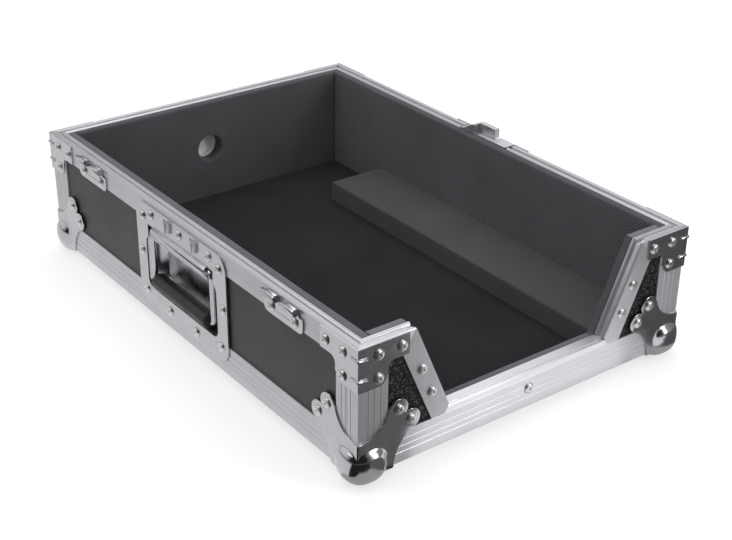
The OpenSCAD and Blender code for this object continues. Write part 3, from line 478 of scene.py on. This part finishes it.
def build_finishes():
    plate, foam = colours().plate, colours().foam
    laminate("laminate side", 1, 2, relief=0.04)
    # The panels' ends: a darker copy of the same laminate, with less specular, painted shade
    laminate("laminate end", 0, 2, painted_shade_and_spec=0.25, glints=0.6, sparse=0.5)
    laminate("laminate base", 0, 1)
    for axis, way in enumerate(("along x", "along y", "upright")):
        extrusion("profile " + way, axis)
    # The sill and the low front: smoother, brighter copies of the same aluminium, the brighter colour painted
    # light
    extrusion("profile sill", 0, 0.7)
    extrusion("profile front", 0, 0.35)
    plated("plated steel", 0.16, plate)
    plated("pressed dish", 0.24, plate)
    # The latch: rougher plated steel, its colour a quarter brighter than the plate's: painted light
    plated("latch metal", 0.45, scaled(plate, 1.25))
    plated("rivet metal", 0.34, colours().rivet)
    plated("spring wire", 0.22, scaled(plate, 0.8))
    moulded("grip rubber", colours().rubber, 0.42, 2600.0)
    moulded("cap plastic", colours().cap, 0.5, 2200.0)
    # The linings are lighter copies of the one foam, each wall by its own amount: painted light
    foam_finish("foam lining", scaled(foam, 1.4), painted_top_light=1.5)
    foam_finish("foam front", scaled(foam, 1.4), painted_top_light=2.2)
    foam_finish("foam back", scaled(foam, 1.5), painted_top_light=0.65)
    foam_finish("foam ribbed", scaled(foam, 1.75), (0.0, 0.7071, 0.7071), painted_top_light=0.55)
    foam_finish("foam block", foam, cell=1300.0)
    foam_finish("foam floor", colours().floor_foam, sheen=0.03)


def dress(names, material, edge=None):
    """Gives CAD nodes a finish and, with edge in metres, a small rounding of their sharp edges"""
    for name in names:
        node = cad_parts[name]
        if not node.material_slots:
            node.data.materials.append(finish(material))
        for slot in node.material_slots:
            slot.material = finish(material)
        if edge:
            node.modifiers.new("Weld", "WELD").merge_threshold = 1e-5
            bevel = node.modifiers.new("Bevel", "BEVEL")
            bevel.width, bevel.segments, bevel.harden_normals = edge, 2, True
            bevel.limit_method, bevel.angle_limit = "ANGLE", math.radians(50)


# ---- pieces


def rivet_outline():
    """Half section of an open blind rivet: a thin rim, a dome, and a pit with the broken stem in it"""
    r, h, pit = (v / MM for v in (sizes().rivet_radius, sizes().rivet_height, sizes().rivet_pit))
    turn = np.linspace(0, np.pi / 2, 7)
    dome = [(pit + 0.45 + (r - pit - 0.45) * math.cos(a), 0.35 + (h - 0.35) * math.sin(a)) for a in turn]
    lip = [(pit + 0.15, h - 0.08), (pit, h - 0.35), (pit, 0.7), (pit * 0.6, 0.75), (0.0, 0.95)]
    return [(0.0, -0.3), (r - 0.1, -0.3), (r, 0.0)] + dome + lip


def rivet_group(name, places):
    """Rivets at places, each a point on a face and the face's direction"""
    centres, outs = zip(*places)
    points, faces = lathe(rivet_outline(), centres, outs, 32)
    piece = make_piece(name + "_heads", points, faces, finish("rivet metal"), "case", 50.0)
    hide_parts(name)


def at_corners(spots):
    """Rivets at each corner, at (distance, height) on its side face and on its end face"""
    places = []
    for distance, height in spots:
        for sx in (-1, 1):
            for sy in (-1, 1):
                places.append(((sx * (X1 - distance), sy * (Y1 + PLATE), Z0 + height), (0, sy, 0)))
                places.append(((sx * (X1 + PLATE), sy * (Y1 - distance), Z0 + height), (sx, 0, 0)))
    return places


def on_side(side, middle, spots):
    """Rivets on the left (-1) or right (1) side, at each (distance, height) on both sides of a middle"""
    ways = lambda d: (-1, 1) if d else (1,)
    return [((side * (X1 + PLATE), middle + s * d, z), (side, 0, 0)) for d, z in spots for s in ways(d)]


def slant_x(z, out):
    """Where the left slanted edge is at a height, moved by out at right angles to it into the cut-out"""
    return X0 + CUT_TOP + (Z1 - z) * math.tan(SLANT) + out / math.cos(SLANT)


def foam_piece(name, points, faces, material):
    piece = make_piece(name + "_foam", points, faces, finish(material), "case", 60.0)
    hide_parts(name)


def lining_wall(name, side, material, pocket):
    """Side lining: heights over (y, z); its front is the face to the inside, and its back steps out under the
    rim's tuck and in behind the handle dish"""
    edge = sizes().foam_edge / MM
    lo_y, hi_y = Y0 + LINING_IN, Y1 - LINING_IN
    s = spread(hi_y - lo_y, edge, 7.0) + lo_y
    t = spread(FOAM_TOP - FLOOR_Z, edge, 7.0) + FLOOR_Z
    t = np.union1d(t, [LOW_TOP, LOW_TOP - SHARP])
    if pocket:
        reach = np.array([POCKET_HALF - SHARP, POCKET_HALF])
        s = np.union1d(s, [SIDE_Y - reach, SIDE_Y + reach])
        t = np.union1d(t, [POCKET_LOW, POCKET_LOW + SHARP, POCKET_HIGH - SHARP, POCKET_HIGH])
    s, t = np.meshgrid(s, t, indexing="ij")
    far = np.minimum(np.minimum(s - lo_y, hi_y - s), np.minimum(t - FLOOR_Z, FOAM_TOP - t))
    front = LINING_T - rounded(far, edge) - ROOM + slack(s, t, ROOM)
    low = (t < LOW_TOP - 0.01) & (s > Y0 + STEP_END) & (s < Y1 - STEP_END)
    back = np.where(low, -LINING_STEP, 0.0)
    if pocket:
        inside = (np.abs(s - SIDE_Y) < POCKET_HALF - 0.02) & (t > POCKET_LOW + 0.02) & (t < POCKET_HIGH - 0.02)
        back = np.where(inside, POCKET_DEEP, back)
    place = lambda y, z, w: (side * (X1 - LINING_IN - w), y, z)
    foam_piece(name, *pad_shell(s, t, front, back, place), material)


def lining_behind(name):
    """Back lining on rays: points run from the cable hole's rim to the sheet's outline, and the front rounds
    off at both"""
    edge = sizes().foam_edge / MM
    side = lambda a, b, n: np.linspace(a, b, n, endpoint=False)
    wide, tall = 48, 18
    rim_x = np.concatenate([side(-INNER_X, INNER_X, wide), np.full(tall, INNER_X),
                            side(INNER_X, -INNER_X, wide), np.full(tall, -INNER_X)])
    rim_z = np.concatenate([np.full(wide, FLOOR_Z), side(FLOOR_Z, FOAM_TOP, tall),
                            np.full(wide, FOAM_TOP), side(FOAM_TOP, FLOOR_Z, tall)])
    angle = np.arctan2(rim_z - HOLE_Z, rim_x - HOLE_X)
    rho = np.concatenate([[0, 0.004, 0.012, 0.025, 0.05], np.linspace(0.1, 0.9, 12),
                          [0.94, 0.97, 0.985, 0.994, 0.998, 1.0]])[None, :]
    hole = np.stack([HOLE_X + HOLE_R * np.cos(angle), HOLE_Z + HOLE_R * np.sin(angle)], -1)[:, None]
    out = np.stack([rim_x, rim_z], -1)[:, None]
    flat = hole + (out - hole) * rho[..., None]
    x, z = flat[..., 0], flat[..., 1]
    from_hole = np.hypot(x - HOLE_X, z - HOLE_Z) - HOLE_R
    from_rim = np.minimum(np.minimum(x + INNER_X, INNER_X - x), np.minimum(z - FLOOR_Z, FOAM_TOP - z))
    front = LINING_T - rounded(np.minimum(from_hole, from_rim), edge) - ROOM + slack(x, z, ROOM)
    back = np.where(z < LOW_TOP - 6, -LINING_STEP, 0.0)
    cut = lambda v: np.concatenate([v[:, :1], v, v[:, -1:]], 1)
    x2, z2, high, low = cut(x), cut(z), cut(front), cut(back)
    high[:, 0], high[:, -1] = low[:, 0], low[:, -1]
    outer = np.stack([x2, Y1 - LINING_IN - high, z2], -1)
    inner = np.stack([x, Y1 - LINING_IN - back, z], -1)
    foam_piece(name, *skin(outer, inner, True), "foam back")


def lining_front(name, side):
    """Front lining, ruled between the side wall and the slanted edge: x = start + s * (end(z) - start)"""
    edge = sizes().foam_edge / MM
    start, sill = -INNER_X, SILL_Z - SILL_GAP
    levels = [sill - SHARP, sill, LOW_TOP, LOW_TOP - SHARP]
    t = np.union1d(spread(FOAM_TOP - FLOOR_Z, edge, 6.0) + FLOOR_Z, levels)
    foot = slant_x(SILL_Z, 0)
    end = np.where(t < sill - 0.02, foot, np.minimum(foot, slant_x(t, -1)))
    s = spread(1.0, 0.03, 0.09)
    s, t2 = np.meshgrid(s, t, indexing="ij")
    x = start + s * (end[None, :] - start)
    from_slant = np.where(t2 < SILL_Z, edge, (end[None, :] - x) * math.cos(SLANT))
    far = np.minimum(np.minimum(x - start, from_slant), np.minimum(t2 - FLOOR_Z, FOAM_TOP - t2))
    front = LINING_T - rounded(far, edge) - ROOM + slack(x, t2, ROOM)
    back = np.zeros_like(front)
    place = lambda a, z, w: (side * a, Y0 + LINING_IN + w, z)
    foam_piece(name, *pad_shell(x, t2, front, back, place), "foam front")


def flat_pad(name, low, high, material, crown):
    """Foam pad, flat below: its top falls from its highest level by crown * (1 - (1 - u^2)(1 - v^2)) and the
    rounded edge, with u and v from -1 to 1 over its width and length"""
    edge = sizes().foam_edge / MM
    (xa, ya, za), (xb, yb, zb) = low, high
    s, t = np.meshgrid(spread(xb - xa, edge, 7.0) + xa, spread(yb - ya, edge, 7.0) + ya, indexing="ij")
    far = np.minimum(np.minimum(s - xa, xb - s), np.minimum(t - ya, yb - t))
    u, v = 2 * (s - xa) / (xb - xa) - 1, 2 * (t - ya) / (yb - ya) - 1
    level = zb - rounded(far, edge) - crown + crown * (1 - u ** 2) * (1 - v ** 2)
    front = level + slack(s, t, PAD_ROOM) - PAD_ROOM
    foam_piece(name, *pad_shell(s, t, front, np.full_like(front, za), lambda *p: p), material)


def arc(mid, radius, start, stop, steps):
    """Points of a circle's stretch in the plane, from one angle in degrees to another"""
    t = np.radians(np.linspace(start, stop, steps))
    return np.stack([mid[0] + radius * np.cos(t), mid[1] + radius * np.sin(t)], -1)


def plate_solid(outline, thick, edge):
    """A flat plate over a closed outline: its upper edge is a quarter round, whose rings are the outline moved
    inwards by edge * (1 - cos t) at the height thick - edge + edge * sin t. Returns (u, v, height) and faces"""
    after, before = np.roll(outline, -1, 0) - outline, outline - np.roll(outline, 1, 0)
    along = unit(unit(after) + unit(before))
    area = np.sum(outline[:, 0] * np.roll(outline[:, 1], -1) - outline[:, 1] * np.roll(outline[:, 0], -1))
    inward = np.stack([-along[:, 1], along[:, 0]], -1) * np.sign(area)
    t = np.linspace(0, np.pi / 2, 5)
    inset = np.concatenate([[0.0], edge * (1 - np.cos(t))])
    level = np.concatenate([[0.0], thick - edge + edge * np.sin(t)])
    flat = outline[None] + inward[None] * inset[:, None, None]
    points = np.concatenate([flat, np.broadcast_to(level[:, None, None], flat.shape[:2] + (1,))], -1)
    rings, n = flat.shape[:2]
    faces = quads(rings, n, False, True).tolist()
    faces += [list(range(n))[::-1], list(range((rings - 1) * n, rings * n))]
    return points.reshape(-1, 3), faces


# Drawn ball of a ball corner: middle, in from both faces and up from the lower edge, radius and squareness
BALL_AT, BALL_R, BALL_P = np.array((12.5, 12.5, 9.6)), 19.95, 2.5


def leg_outline():
    """Two-lobed leg of a ball corner, as (distance from the corner, height above the lower edge)"""
    return np.concatenate([
        [(-0.2, -1.3)], arc((2, 63.5), 28.8, -94.4, -12.5, 20), arc((40.5, 54.5), 9.6, 163, -32, 24),
        arc((53.5, 40.5), 9.6, 124, -66, 24), arc((74, -2), 38, 116.5, 177, 16), [(36.05, -1.3)]])


def ball_surface():
    """Superellipsoid over all directions u: r = R / (|ux|^p + |uy|^p + |uz|^p)^(1/p), with p a little over 2 so
    that it reaches past the bent edge of the legs. What would stand in the walls is drawn back to 5 mm"""
    polar, turn = np.linspace(0, np.pi, 49)[:, None], np.linspace(0, 2 * np.pi, 96, endpoint=False)[None, :]
    u = np.stack([np.sin(polar) * np.cos(turn), np.sin(polar) * np.sin(turn), np.cos(polar) + 0 * turn], -1)
    points = BALL_AT + BALL_R * u / np.sum(np.abs(u) ** BALL_P, -1, keepdims=True) ** (1 / BALL_P)
    return np.where(np.all(points > 0.4, -1, keepdims=True), np.minimum(points, 5.0), points)


def ball_fillet():
    """Hollow curve between ball and leg, swept about the ball as (distance, height, out): a parabola from the
    ball at c(w) to the plate, where c(w) = (R^p - (in + w)^p)^(1/p) is the ball's reach at the level w. It runs
    out to nothing at both ends"""
    first, last, fade, rise, run = -34, 132, 24, 2.17, 2.4
    angle = np.linspace(first, last, 80)[:, None]
    run_out = np.sqrt(np.clip(np.minimum(angle - first, last - angle) / fade, 0.005, 1))
    angle = np.radians(angle)
    square = (np.abs(np.cos(angle)) ** BALL_P + np.abs(np.sin(angle)) ** BALL_P) ** (-1 / BALL_P)
    reach = lambda w: (BALL_R ** BALL_P - (BALL_AT[1] + w) ** BALL_P) ** (1 / BALL_P) * square
    t = np.linspace(0, 1, 9)[None, :]
    low = PLATE + 0.03
    high = low + rise * run_out
    blend = lambda a, b, c: a * (1 - t) ** 2 + 2 * b * t * (1 - t) + c * t ** 2
    r = blend(reach(low) + run * run_out, reach(low), reach(high) + 0.02)
    w = blend(low, low, high) + 0 * r
    r = np.concatenate([r, reach(high) - 1.5, r[:, :1]], 1)
    w = np.concatenate([w, w[:, :1] - 0.8, w[:, :1] - 0.8], 1)
    points = np.stack([BALL_AT[0] + r * np.cos(angle), BALL_AT[2] + r * np.sin(angle), w], -1)
    n, m = r.shape
    faces = quads(n, m, False, True).tolist()
    return points.reshape(-1, 3), faces + [list(range(m)), list(range((n - 1) * m, n * m))]


def ball_corner(name, sx, sy):
    """Ball corner at the side sx and the end sy: two legs with their bend, a sole, the ball and its fillets"""
    reach = 36.5
    sole = np.concatenate([[(-1, -1), (reach, -1)], arc((0, 0), reach, 0, 90, 24), [(-1, reach)]])
    leg, foot, fillet = plate_solid(leg_outline(), PLATE, 0.5), plate_solid(sole, PLATE, 0.5), ball_fillet()
    post = [(0, -1.2), (PLATE, -1.2), (PLATE, 34.2), (1.2, 34.6), (0, 34.7)]
    bend, wrap = lathe(post, (0, 0, 0), (0, 0, 1), 24)
    ball = ball_surface()
    at_end, at_side = (lambda d, h, w: (d, -w, h)), (lambda d, h, w: (-w, d, h))
    parts, faces, count = [], [], 0
    for (points, more), place in ((leg, at_end), (leg, at_side), (foot, lambda d, h, w: (d, h, -w)),
                                  (fillet, at_end), (fillet, at_side), ((bend.reshape(-1, 3), wrap), None),
                                  ((ball.reshape(-1, 3), quads(*ball.shape[:2], False, True)), None)):
        parts.append(np.stack(place(*points.T), -1) if place else points)
        faces += [[count + int(k) for k in face] for face in more]
        count += len(points)
    points = np.concatenate(parts) + (X0, Y0, Z0)
    points[:, 0] *= -sx
    points[:, 1] *= -sy
    piece = make_piece(name + "_drawn", points, faces, finish("plated steel"), "case", 35.0)
    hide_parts(name)


def grip_piece():
    """Moulded grip: a tube round the handle's rod, whose outer ends are quarter rounds of 2 mm"""
    radius, end, half = sizes().grip_radius / MM, 2.0, GRIP_HALF
    turn = np.linspace(0, np.pi / 2, 7)
    ends = [(radius - end + end * math.sin(a), -half + end - end * math.cos(a)) for a in turn]
    body = [(radius, h) for h in np.linspace(-half + 4, half - 4, 24)]
    outline = [(GRIP_BORE, half), (GRIP_BORE, -half)] + ends + body + [(r, -h) for r, h in ends[::-1]]
    points = lathe(outline, GRIP_AT, (0, 1, 0), 64)[0]
    faces = quads(*points.shape[1:3], True, True)
    piece = make_piece("handle_grip_moulded", points, faces, finish("grip rubber"), "handle", 45.0)
    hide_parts("handle_grip")


# ---- operators


class CASE_OT_finishes(bpy.types.Operator):
    """Build the shared effects and the finishes of the case"""
    bl_idname = "case.finishes"
    bl_label = "Finishes"

    def execute(self, context):
        build_groups()
        build_finishes()
        return {"FINISHED"}


class CASE_OT_panels(bpy.types.Operator):
    """Give the plywood panels their embossed laminate"""
    bl_idname = "case.panels"
    bl_label = "Panels"

    def execute(self, context):
        dress(["left_panel", "right_panel"], "laminate side")
        dress(["front_panel", "back_panel"], "laminate end")
        dress(["base_panel"], "laminate base")
        return {"FINISHED"}


class CASE_OT_profiles(bpy.types.Operator):
    """Give the aluminium edge profiles their drawn satin finish, each along its own length"""
    bl_idname = "case.profiles"
    bl_label = "Edge profiles"

    def execute(self, context):
        along_y = ["base_profile_left", "base_profile_right", "rim_left", "rim_right"]
        along_x = ["base_profile_back", "rim_back", "rim_front_left", "rim_front_right"]
        upright = ["slant_trim_left", "slant_trim_right"] + ["corner_profile_%s_%s" % c for c in CORNERS]
        for names, way in ((along_y, "along y"), (along_x, "along x"), (["sill_trim"], "sill"),
                           (["base_profile_front"], "front"), (upright, "upright")):
            dress(names, "profile " + way, PROFILE_EDGE)
        return {"FINISHED"}


class CASE_OT_hardware(bpy.types.Operator):
    """Give braces, hinges, handle and latch their plated finish"""
    bl_idname = "case.hardware"
    bl_label = "Hardware"

    def execute(self, context):
        edge = sizes().plate_edge
        dress(["brace_%s_%s" % corner for corner in CORNERS], "plated steel", edge)
        pairs = [p + end for p in ("hinge_leaf", "hinge_pins", "latch_wing") for end in ("_front", "_back")]
        dress(pairs + ["latch_cam", "handle_bail"], "plated steel", edge)
        dress(["latch_dish", "latch_claw"], "latch metal", edge)
        dress(["handle_dish"], "pressed dish", edge)
        dress(["handle_spring_front", "handle_spring_back"], "spring wire")
        return {"FINISHED"}


class CASE_OT_ball_corners(bpy.types.Operator):
    """Draw the four ball corners with their two-lobed legs"""
    bl_idname = "case.ball_corners"
    bl_label = "Ball corners"

    def execute(self, context):
        for end, side in CORNERS:
            sx, sy = (1 if side == "right" else -1), (1 if end == "back" else -1)
            ball_corner("ball_corner_%s_%s" % (end, side), sx, sy)
        return {"FINISHED"}


class CASE_OT_rivets(bpy.types.Operator):
    """Turn the open blind rivets and set one at each of their places"""
    bl_idname = "case.rivets"
    bl_label = "Rivets"

    def execute(self, context):
        rivet_group("brace_rivets", at_corners(BRACE_RIVETS))
        rivet_group("ball_corner_rivets", at_corners(BALL_RIVETS))
        rivet_group("hinge_rivets", [place for y in HINGES_Y for place in on_side(-1, y, [HINGE_RIVET])])
        rivet_group("handle_rivets", on_side(-1, SIDE_Y, HANDLE_RIVETS))
        rivet_group("latch_rivets", on_side(1, LATCH_Y, LATCH_RIVETS))
        trim = [((s * slant_x(z, -TRIM_RIVET_IN), Y0, z), (0, -1, 0)) for z in TRIM_RIVETS for s in (-1, 1)]
        rivet_group("trim_rivets", trim + [((0, Y0, SILL_RIVET), (0, -1, 0))])
        return {"FINISHED"}


class CASE_OT_foam(bpy.types.Operator):
    """Cut the foam lining, the foam on the floor and the two blocks under the player"""
    bl_idname = "case.foam"
    bl_label = "Foam"

    def execute(self, context):
        lining_wall("lining_left", -1, "foam lining", True)
        lining_wall("lining_right", 1, "foam ribbed", False)
        lining_behind("lining_back")
        lining_front("lining_front_left", 1)
        lining_front("lining_front_right", -1)
        foot, top = slant_x(SILL_Z, 0), SILL_Z - SILL_GAP
        flat_pad("lining_sill", (foot, Y0 + LINING_IN, FLOOR_Z), (-foot, -INNER_Y, top), "foam lining", 0.0)
        flat_pad("floor_foam", (-INNER_X, -INNER_Y, FLOOR_Z), (INNER_X, INNER_Y, CARPET_Z), "foam floor", 0.0)
        for side, xa, xb in (("left", -INNER_X, -BLOCK_X), ("right", BLOCK_X, INNER_X)):
            flat_pad("support_block_" + side, (xa, -INNER_Y, CARPET_Z), (xb, BLOCK_Y, top), "foam block", 0.4)
        return {"FINISHED"}


class CASE_OT_grip(bpy.types.Operator):
    """Mould the rubber grip on the handle's rod"""
    bl_idname = "case.grip"
    bl_label = "Grip"

    def execute(self, context):
        grip_piece()
        return {"FINISHED"}


class CASE_OT_cap(bpy.types.Operator):
    """Give the cap of the cable hole its moulded finish"""
    bl_idname = "case.cap"
    bl_label = "Cable hole cap"

    def execute(self, context):
        dress(["cable_port_cap"], "cap plastic", PROFILE_EDGE)
        return {"FINISHED"}


class CASE_OT_studio(bpy.types.Operator):
    """Set up the floor, the soft light and the camera"""
    bl_idname = "case.studio"
    bl_label = "Studio"

    def execute(self, context):
        context.scene.view_settings.view_transform = "Standard"
        build_floor()
        for name in CARDS:
            build_card(name)
        build_world()
        for name in LAMPS:
            lamp(name)
        build_camera()
        return {"FINISHED"}


# The floor: half its side, in metres, and its glow
FLOOR_HALF, FLOOR_GLOW = 9, 0.55
# What gloss sees of the studio: way to its dark side, closeness from and to which it darkens, and levels
GLOSS = (-0.75, -0.65, 0.1), 0.15, 0.6, 0.3, 0.015
# Soft boxes that gloss sees: direction, full within and gone beyond these half angles, level
BOXES = (((-0.62, 0.68, 0.38), 0.35, 0.7, 0.6), ((0.51, 0.62, 0.6), 0.15, 0.44, 0.85),
         ((0.1, 0.1, 1.0), 0.3, 0.6, 0.8), ((0.75, -0.5, 0.75), 0.08, 0.16, 1.4))
# Borders that the cards on the floor share, in metres in plan
MIDDLE_LEFT = (0.03, -0.5), (0.01, -0.43), (-0.03, -0.375), (-0.055, -0.35), (-0.083, -0.322)
MIDDLE_RIGHT = (0.13, -0.283), (0.19, -0.326), (0.178, -0.345), (0.225, -0.375), (0.26, -0.5)
# Cards on the floor that only gloss sees, each a little above the one before: corners and level
CARDS = {
    "dark": (((-2.6, -2.6), (2.6, -2.6), (2.6, -0.2765), (-0.15, -0.2765), (-0.205, -0.262), (-0.42, -0.29),
              (-0.42, 0.9), (-2.6, 2.2)), 0.02),
    "middle": (((-0.125, -0.283), *MIDDLE_RIGHT, *MIDDLE_LEFT), 1.05),
    "corner left": (((-0.15, -0.283), (-0.163, -0.318), (-0.13, -0.5), *MIDDLE_LEFT, (-0.125, -0.283)), 0.16),
    "corner right": ((*MIDDLE_RIGHT, (0.6, -0.6), (0.6, -0.15), (0.2, -0.22), (0.2, -0.283)), 0.12),
    "foot left": (((-0.15, -0.283), (-0.15, -0.25), (-0.205, -0.25), (-0.205, -0.3), (-0.163, -0.318)), 0.5),
    "foot right": (((0.142, -0.29), (0.15, -0.25), (0.2, -0.25), (0.2, -0.285), (0.17, -0.3)), 0.5),
    "left": (((-0.42, -0.29), (-0.205, -0.262), (-0.205, 0.5), (-0.42, 0.9)), 0.87)}
CARD_RISE, CARD_STEP = 0.0008, 0.0001
# Softboxes that light the case: place, target, width and height, and the setting that gives the power
LAMPS = {"softbox overhead": ((0.15, 0.25, 1.9), (0, 0, 0.1), (1.6, 1.6), "softbox"),
         "softbox left": ((-1.25, 0.15, 1.05), (0, 0, 0.1), (0.8, 0.8), "side"),
         "softbox front": ((1.02, -1.89, 0.75), (0, -0.1, 0.06), (0.32, 1.3), "key")}
# The photograph's camera, found from the case's own straight edges: place, and its ways to the right and up
CAMERA_AT = (-0.7290, -1.0013, 0.6841)
CAMERA_RIGHT, CAMERA_UP = (0.8018, -0.5976, 0.0094), (0.2724, 0.3795, 0.8842)


def studio_sheet(name, corners, height, material_name):
    """A flat sheet for the stage. Returns it, the plan of its material, which has no shader yet, and where the
    shader goes"""
    mesh = bpy.data.meshes.new(name)
    mesh.from_pydata([(x, y, height) for x, y in corners], [], [tuple(range(len(corners)))])
    material = bpy.data.materials.new(material_name)
    material.use_nodes = True
    nodes = material.node_tree.nodes
    nodes.remove(nodes["Principled BSDF"])
    mesh.materials.append(material)
    return new_object(name, mesh), Plan(material.node_tree), nodes["Material Output"].inputs["Surface"]


def build_floor():
    """A pale matt floor that takes the case's shadow and glows a little to camera and gloss"""
    h = FLOOR_HALF
    corners = (-h, -h), (h, -h), (h, h), (-h, h)
    floor, plan, surface = studio_sheet("studio_floor", corners, 0, "pale floor")
    path = plan.add("LightPath", out=None).outputs
    seen = plan.math("MAXIMUM", path["Is Glossy Ray"], path["Is Transmission Ray"])
    seen = plan.math("MAXIMUM", path["Is Camera Ray"], seen)
    glow = plan.math("MULTIPLY", seen, FLOOR_GLOW)
    glow = plan.add("Emission", {"Color": (1, 1, 1, 1), "Strength": glow})
    cloud = plan.noise(plan.add("TexCoord", out="Object"), 3.0)
    pale = plan.mix(plan.remap(cloud, 0.3, 0.7, 0.0, 1.0), (0.6, 0.6, 0.6), (0.62, 0.62, 0.62))
    matt = plan.add("BsdfDiffuse", {"Color": pale})
    plan.link(plan.add("AddShader", {0: glow, 1: matt}), surface)


def build_card(name):
    """A card on the floor whose level shows in gloss alone"""
    corners, level = CARDS[name]
    height = CARD_RISE + CARD_STEP * list(CARDS).index(name)
    card, plan, surface = studio_sheet("studio_card_" + name, corners, height, "card " + name)
    glow = plan.add("Emission", {"Color": (level, level, level, 1), "Strength": 1.0})
    plan.link(glow, surface)
    for kind in ("camera", "diffuse", "transmission", "volume_scatter", "shadow"):
        setattr(card, "visible_" + kind, False)


def build_world():
    """White to the camera; to gloss a grey studio that is dark towards the front left, with softboxes; plain to
    the rest"""
    world = bpy.data.worlds.new("studio")
    bpy.context.scene.world = world
    world.use_nodes = True
    plan = Plan(world.node_tree)
    shader = world.node_tree.nodes["Background"]
    path = plan.add("LightPath", out=None).outputs
    way = plan.add("TexCoord", out="Generated")
    shade = plan.remap(plan.vector("DOT_PRODUCT", way, GLOSS[0], out=1), *GLOSS[1:])
    for toward, inner, outer, level in BOXES:
        near = plan.vector("DOT_PRODUCT", way, tuple(unit(toward)), out=1)
        shade = plan.math("ADD", shade, plan.remap(near, math.cos(outer), math.cos(inner), 0.0, level))
    fill = studio().fill
    colour = plan.mix(path["Is Glossy Ray"], (fill, fill, fill), shade)
    plan.link(plan.mix(path["Is Camera Ray"], colour, (1, 1, 1)), shader.inputs["Color"])


def lamp(name):
    """A softbox at its place, with its -Z axis on its target"""
    spot, target, size, power = LAMPS[name]
    data = bpy.data.lights.new(name, "AREA")
    data.shape, data.energy = "RECTANGLE", getattr(studio(), power)
    data.size, data.size_y = size
    back = unit(np.subtract(spot, target))
    right = unit(np.cross((0, 0, 1), back))
    turn_to(new_object(name, data), spot, right, np.cross(back, right), back)


def turn_to(thing, spot, right, up, back):
    """Puts a thing at spot with its X, Y and Z axes along right, up and back"""
    rows = np.eye(4)
    rows[:3] = np.stack([right, up, back, spot], -1)
    thing.matrix_world = Matrix(rows.tolist())


def build_camera():
    data = bpy.data.cameras.new("camera")
    data.sensor_width, data.lens = 36.0, studio().lens
    camera = new_object("camera", data)
    right = unit(CAMERA_RIGHT)
    up = unit(CAMERA_UP - right * (right @ CAMERA_UP))
    turn_to(camera, CAMERA_AT, right, up, np.cross(right, up))
    bpy.context.scene.camera = camera


class CASE_PT_panel(bpy.types.Panel):
    """Sizes, colours and steps of the case"""
    bl_idname = "CASE_PT_panel"
    bl_label = "Disc player case"
    bl_space_type = "VIEW_3D"
    bl_region_type = "UI"
    bl_category = "Case"

    def draw(self, context):
        for settings in (context.scene.case_sizes, context.scene.case_colours, context.scene.case_studio):
            box = self.layout.box()
            for name in settings.__annotations__:
                box.prop(settings, name)
        for step in STEPS:
            self.layout.operator(step.bl_idname)


STEPS = (CASE_OT_finishes, CASE_OT_panels, CASE_OT_profiles, CASE_OT_hardware, CASE_OT_ball_corners,
         CASE_OT_rivets, CASE_OT_foam, CASE_OT_grip, CASE_OT_cap, CASE_OT_studio)
GROUPS = {"case_sizes": CaseSizes, "case_colours": CaseColours, "case_studio": CaseStudio}


def register():
    for kind in (*GROUPS.values(), *STEPS, CASE_PT_panel):
        bpy.utils.register_class(kind)
    for name, kind in GROUPS.items():
        setattr(bpy.types.Scene, name, bpy.props.PointerProperty(type=kind))


def unregister():
    for name in GROUPS:
        delattr(bpy.types.Scene, name)
    for kind in (CASE_PT_panel, *reversed(STEPS), *GROUPS.values()):
        bpy.utils.unregister_class(kind)


def main():
    register()
    for step in STEPS:
        getattr(bpy.ops.case, step.bl_idname.split(".")[1])()


if __name__ == "__main__":
    main()
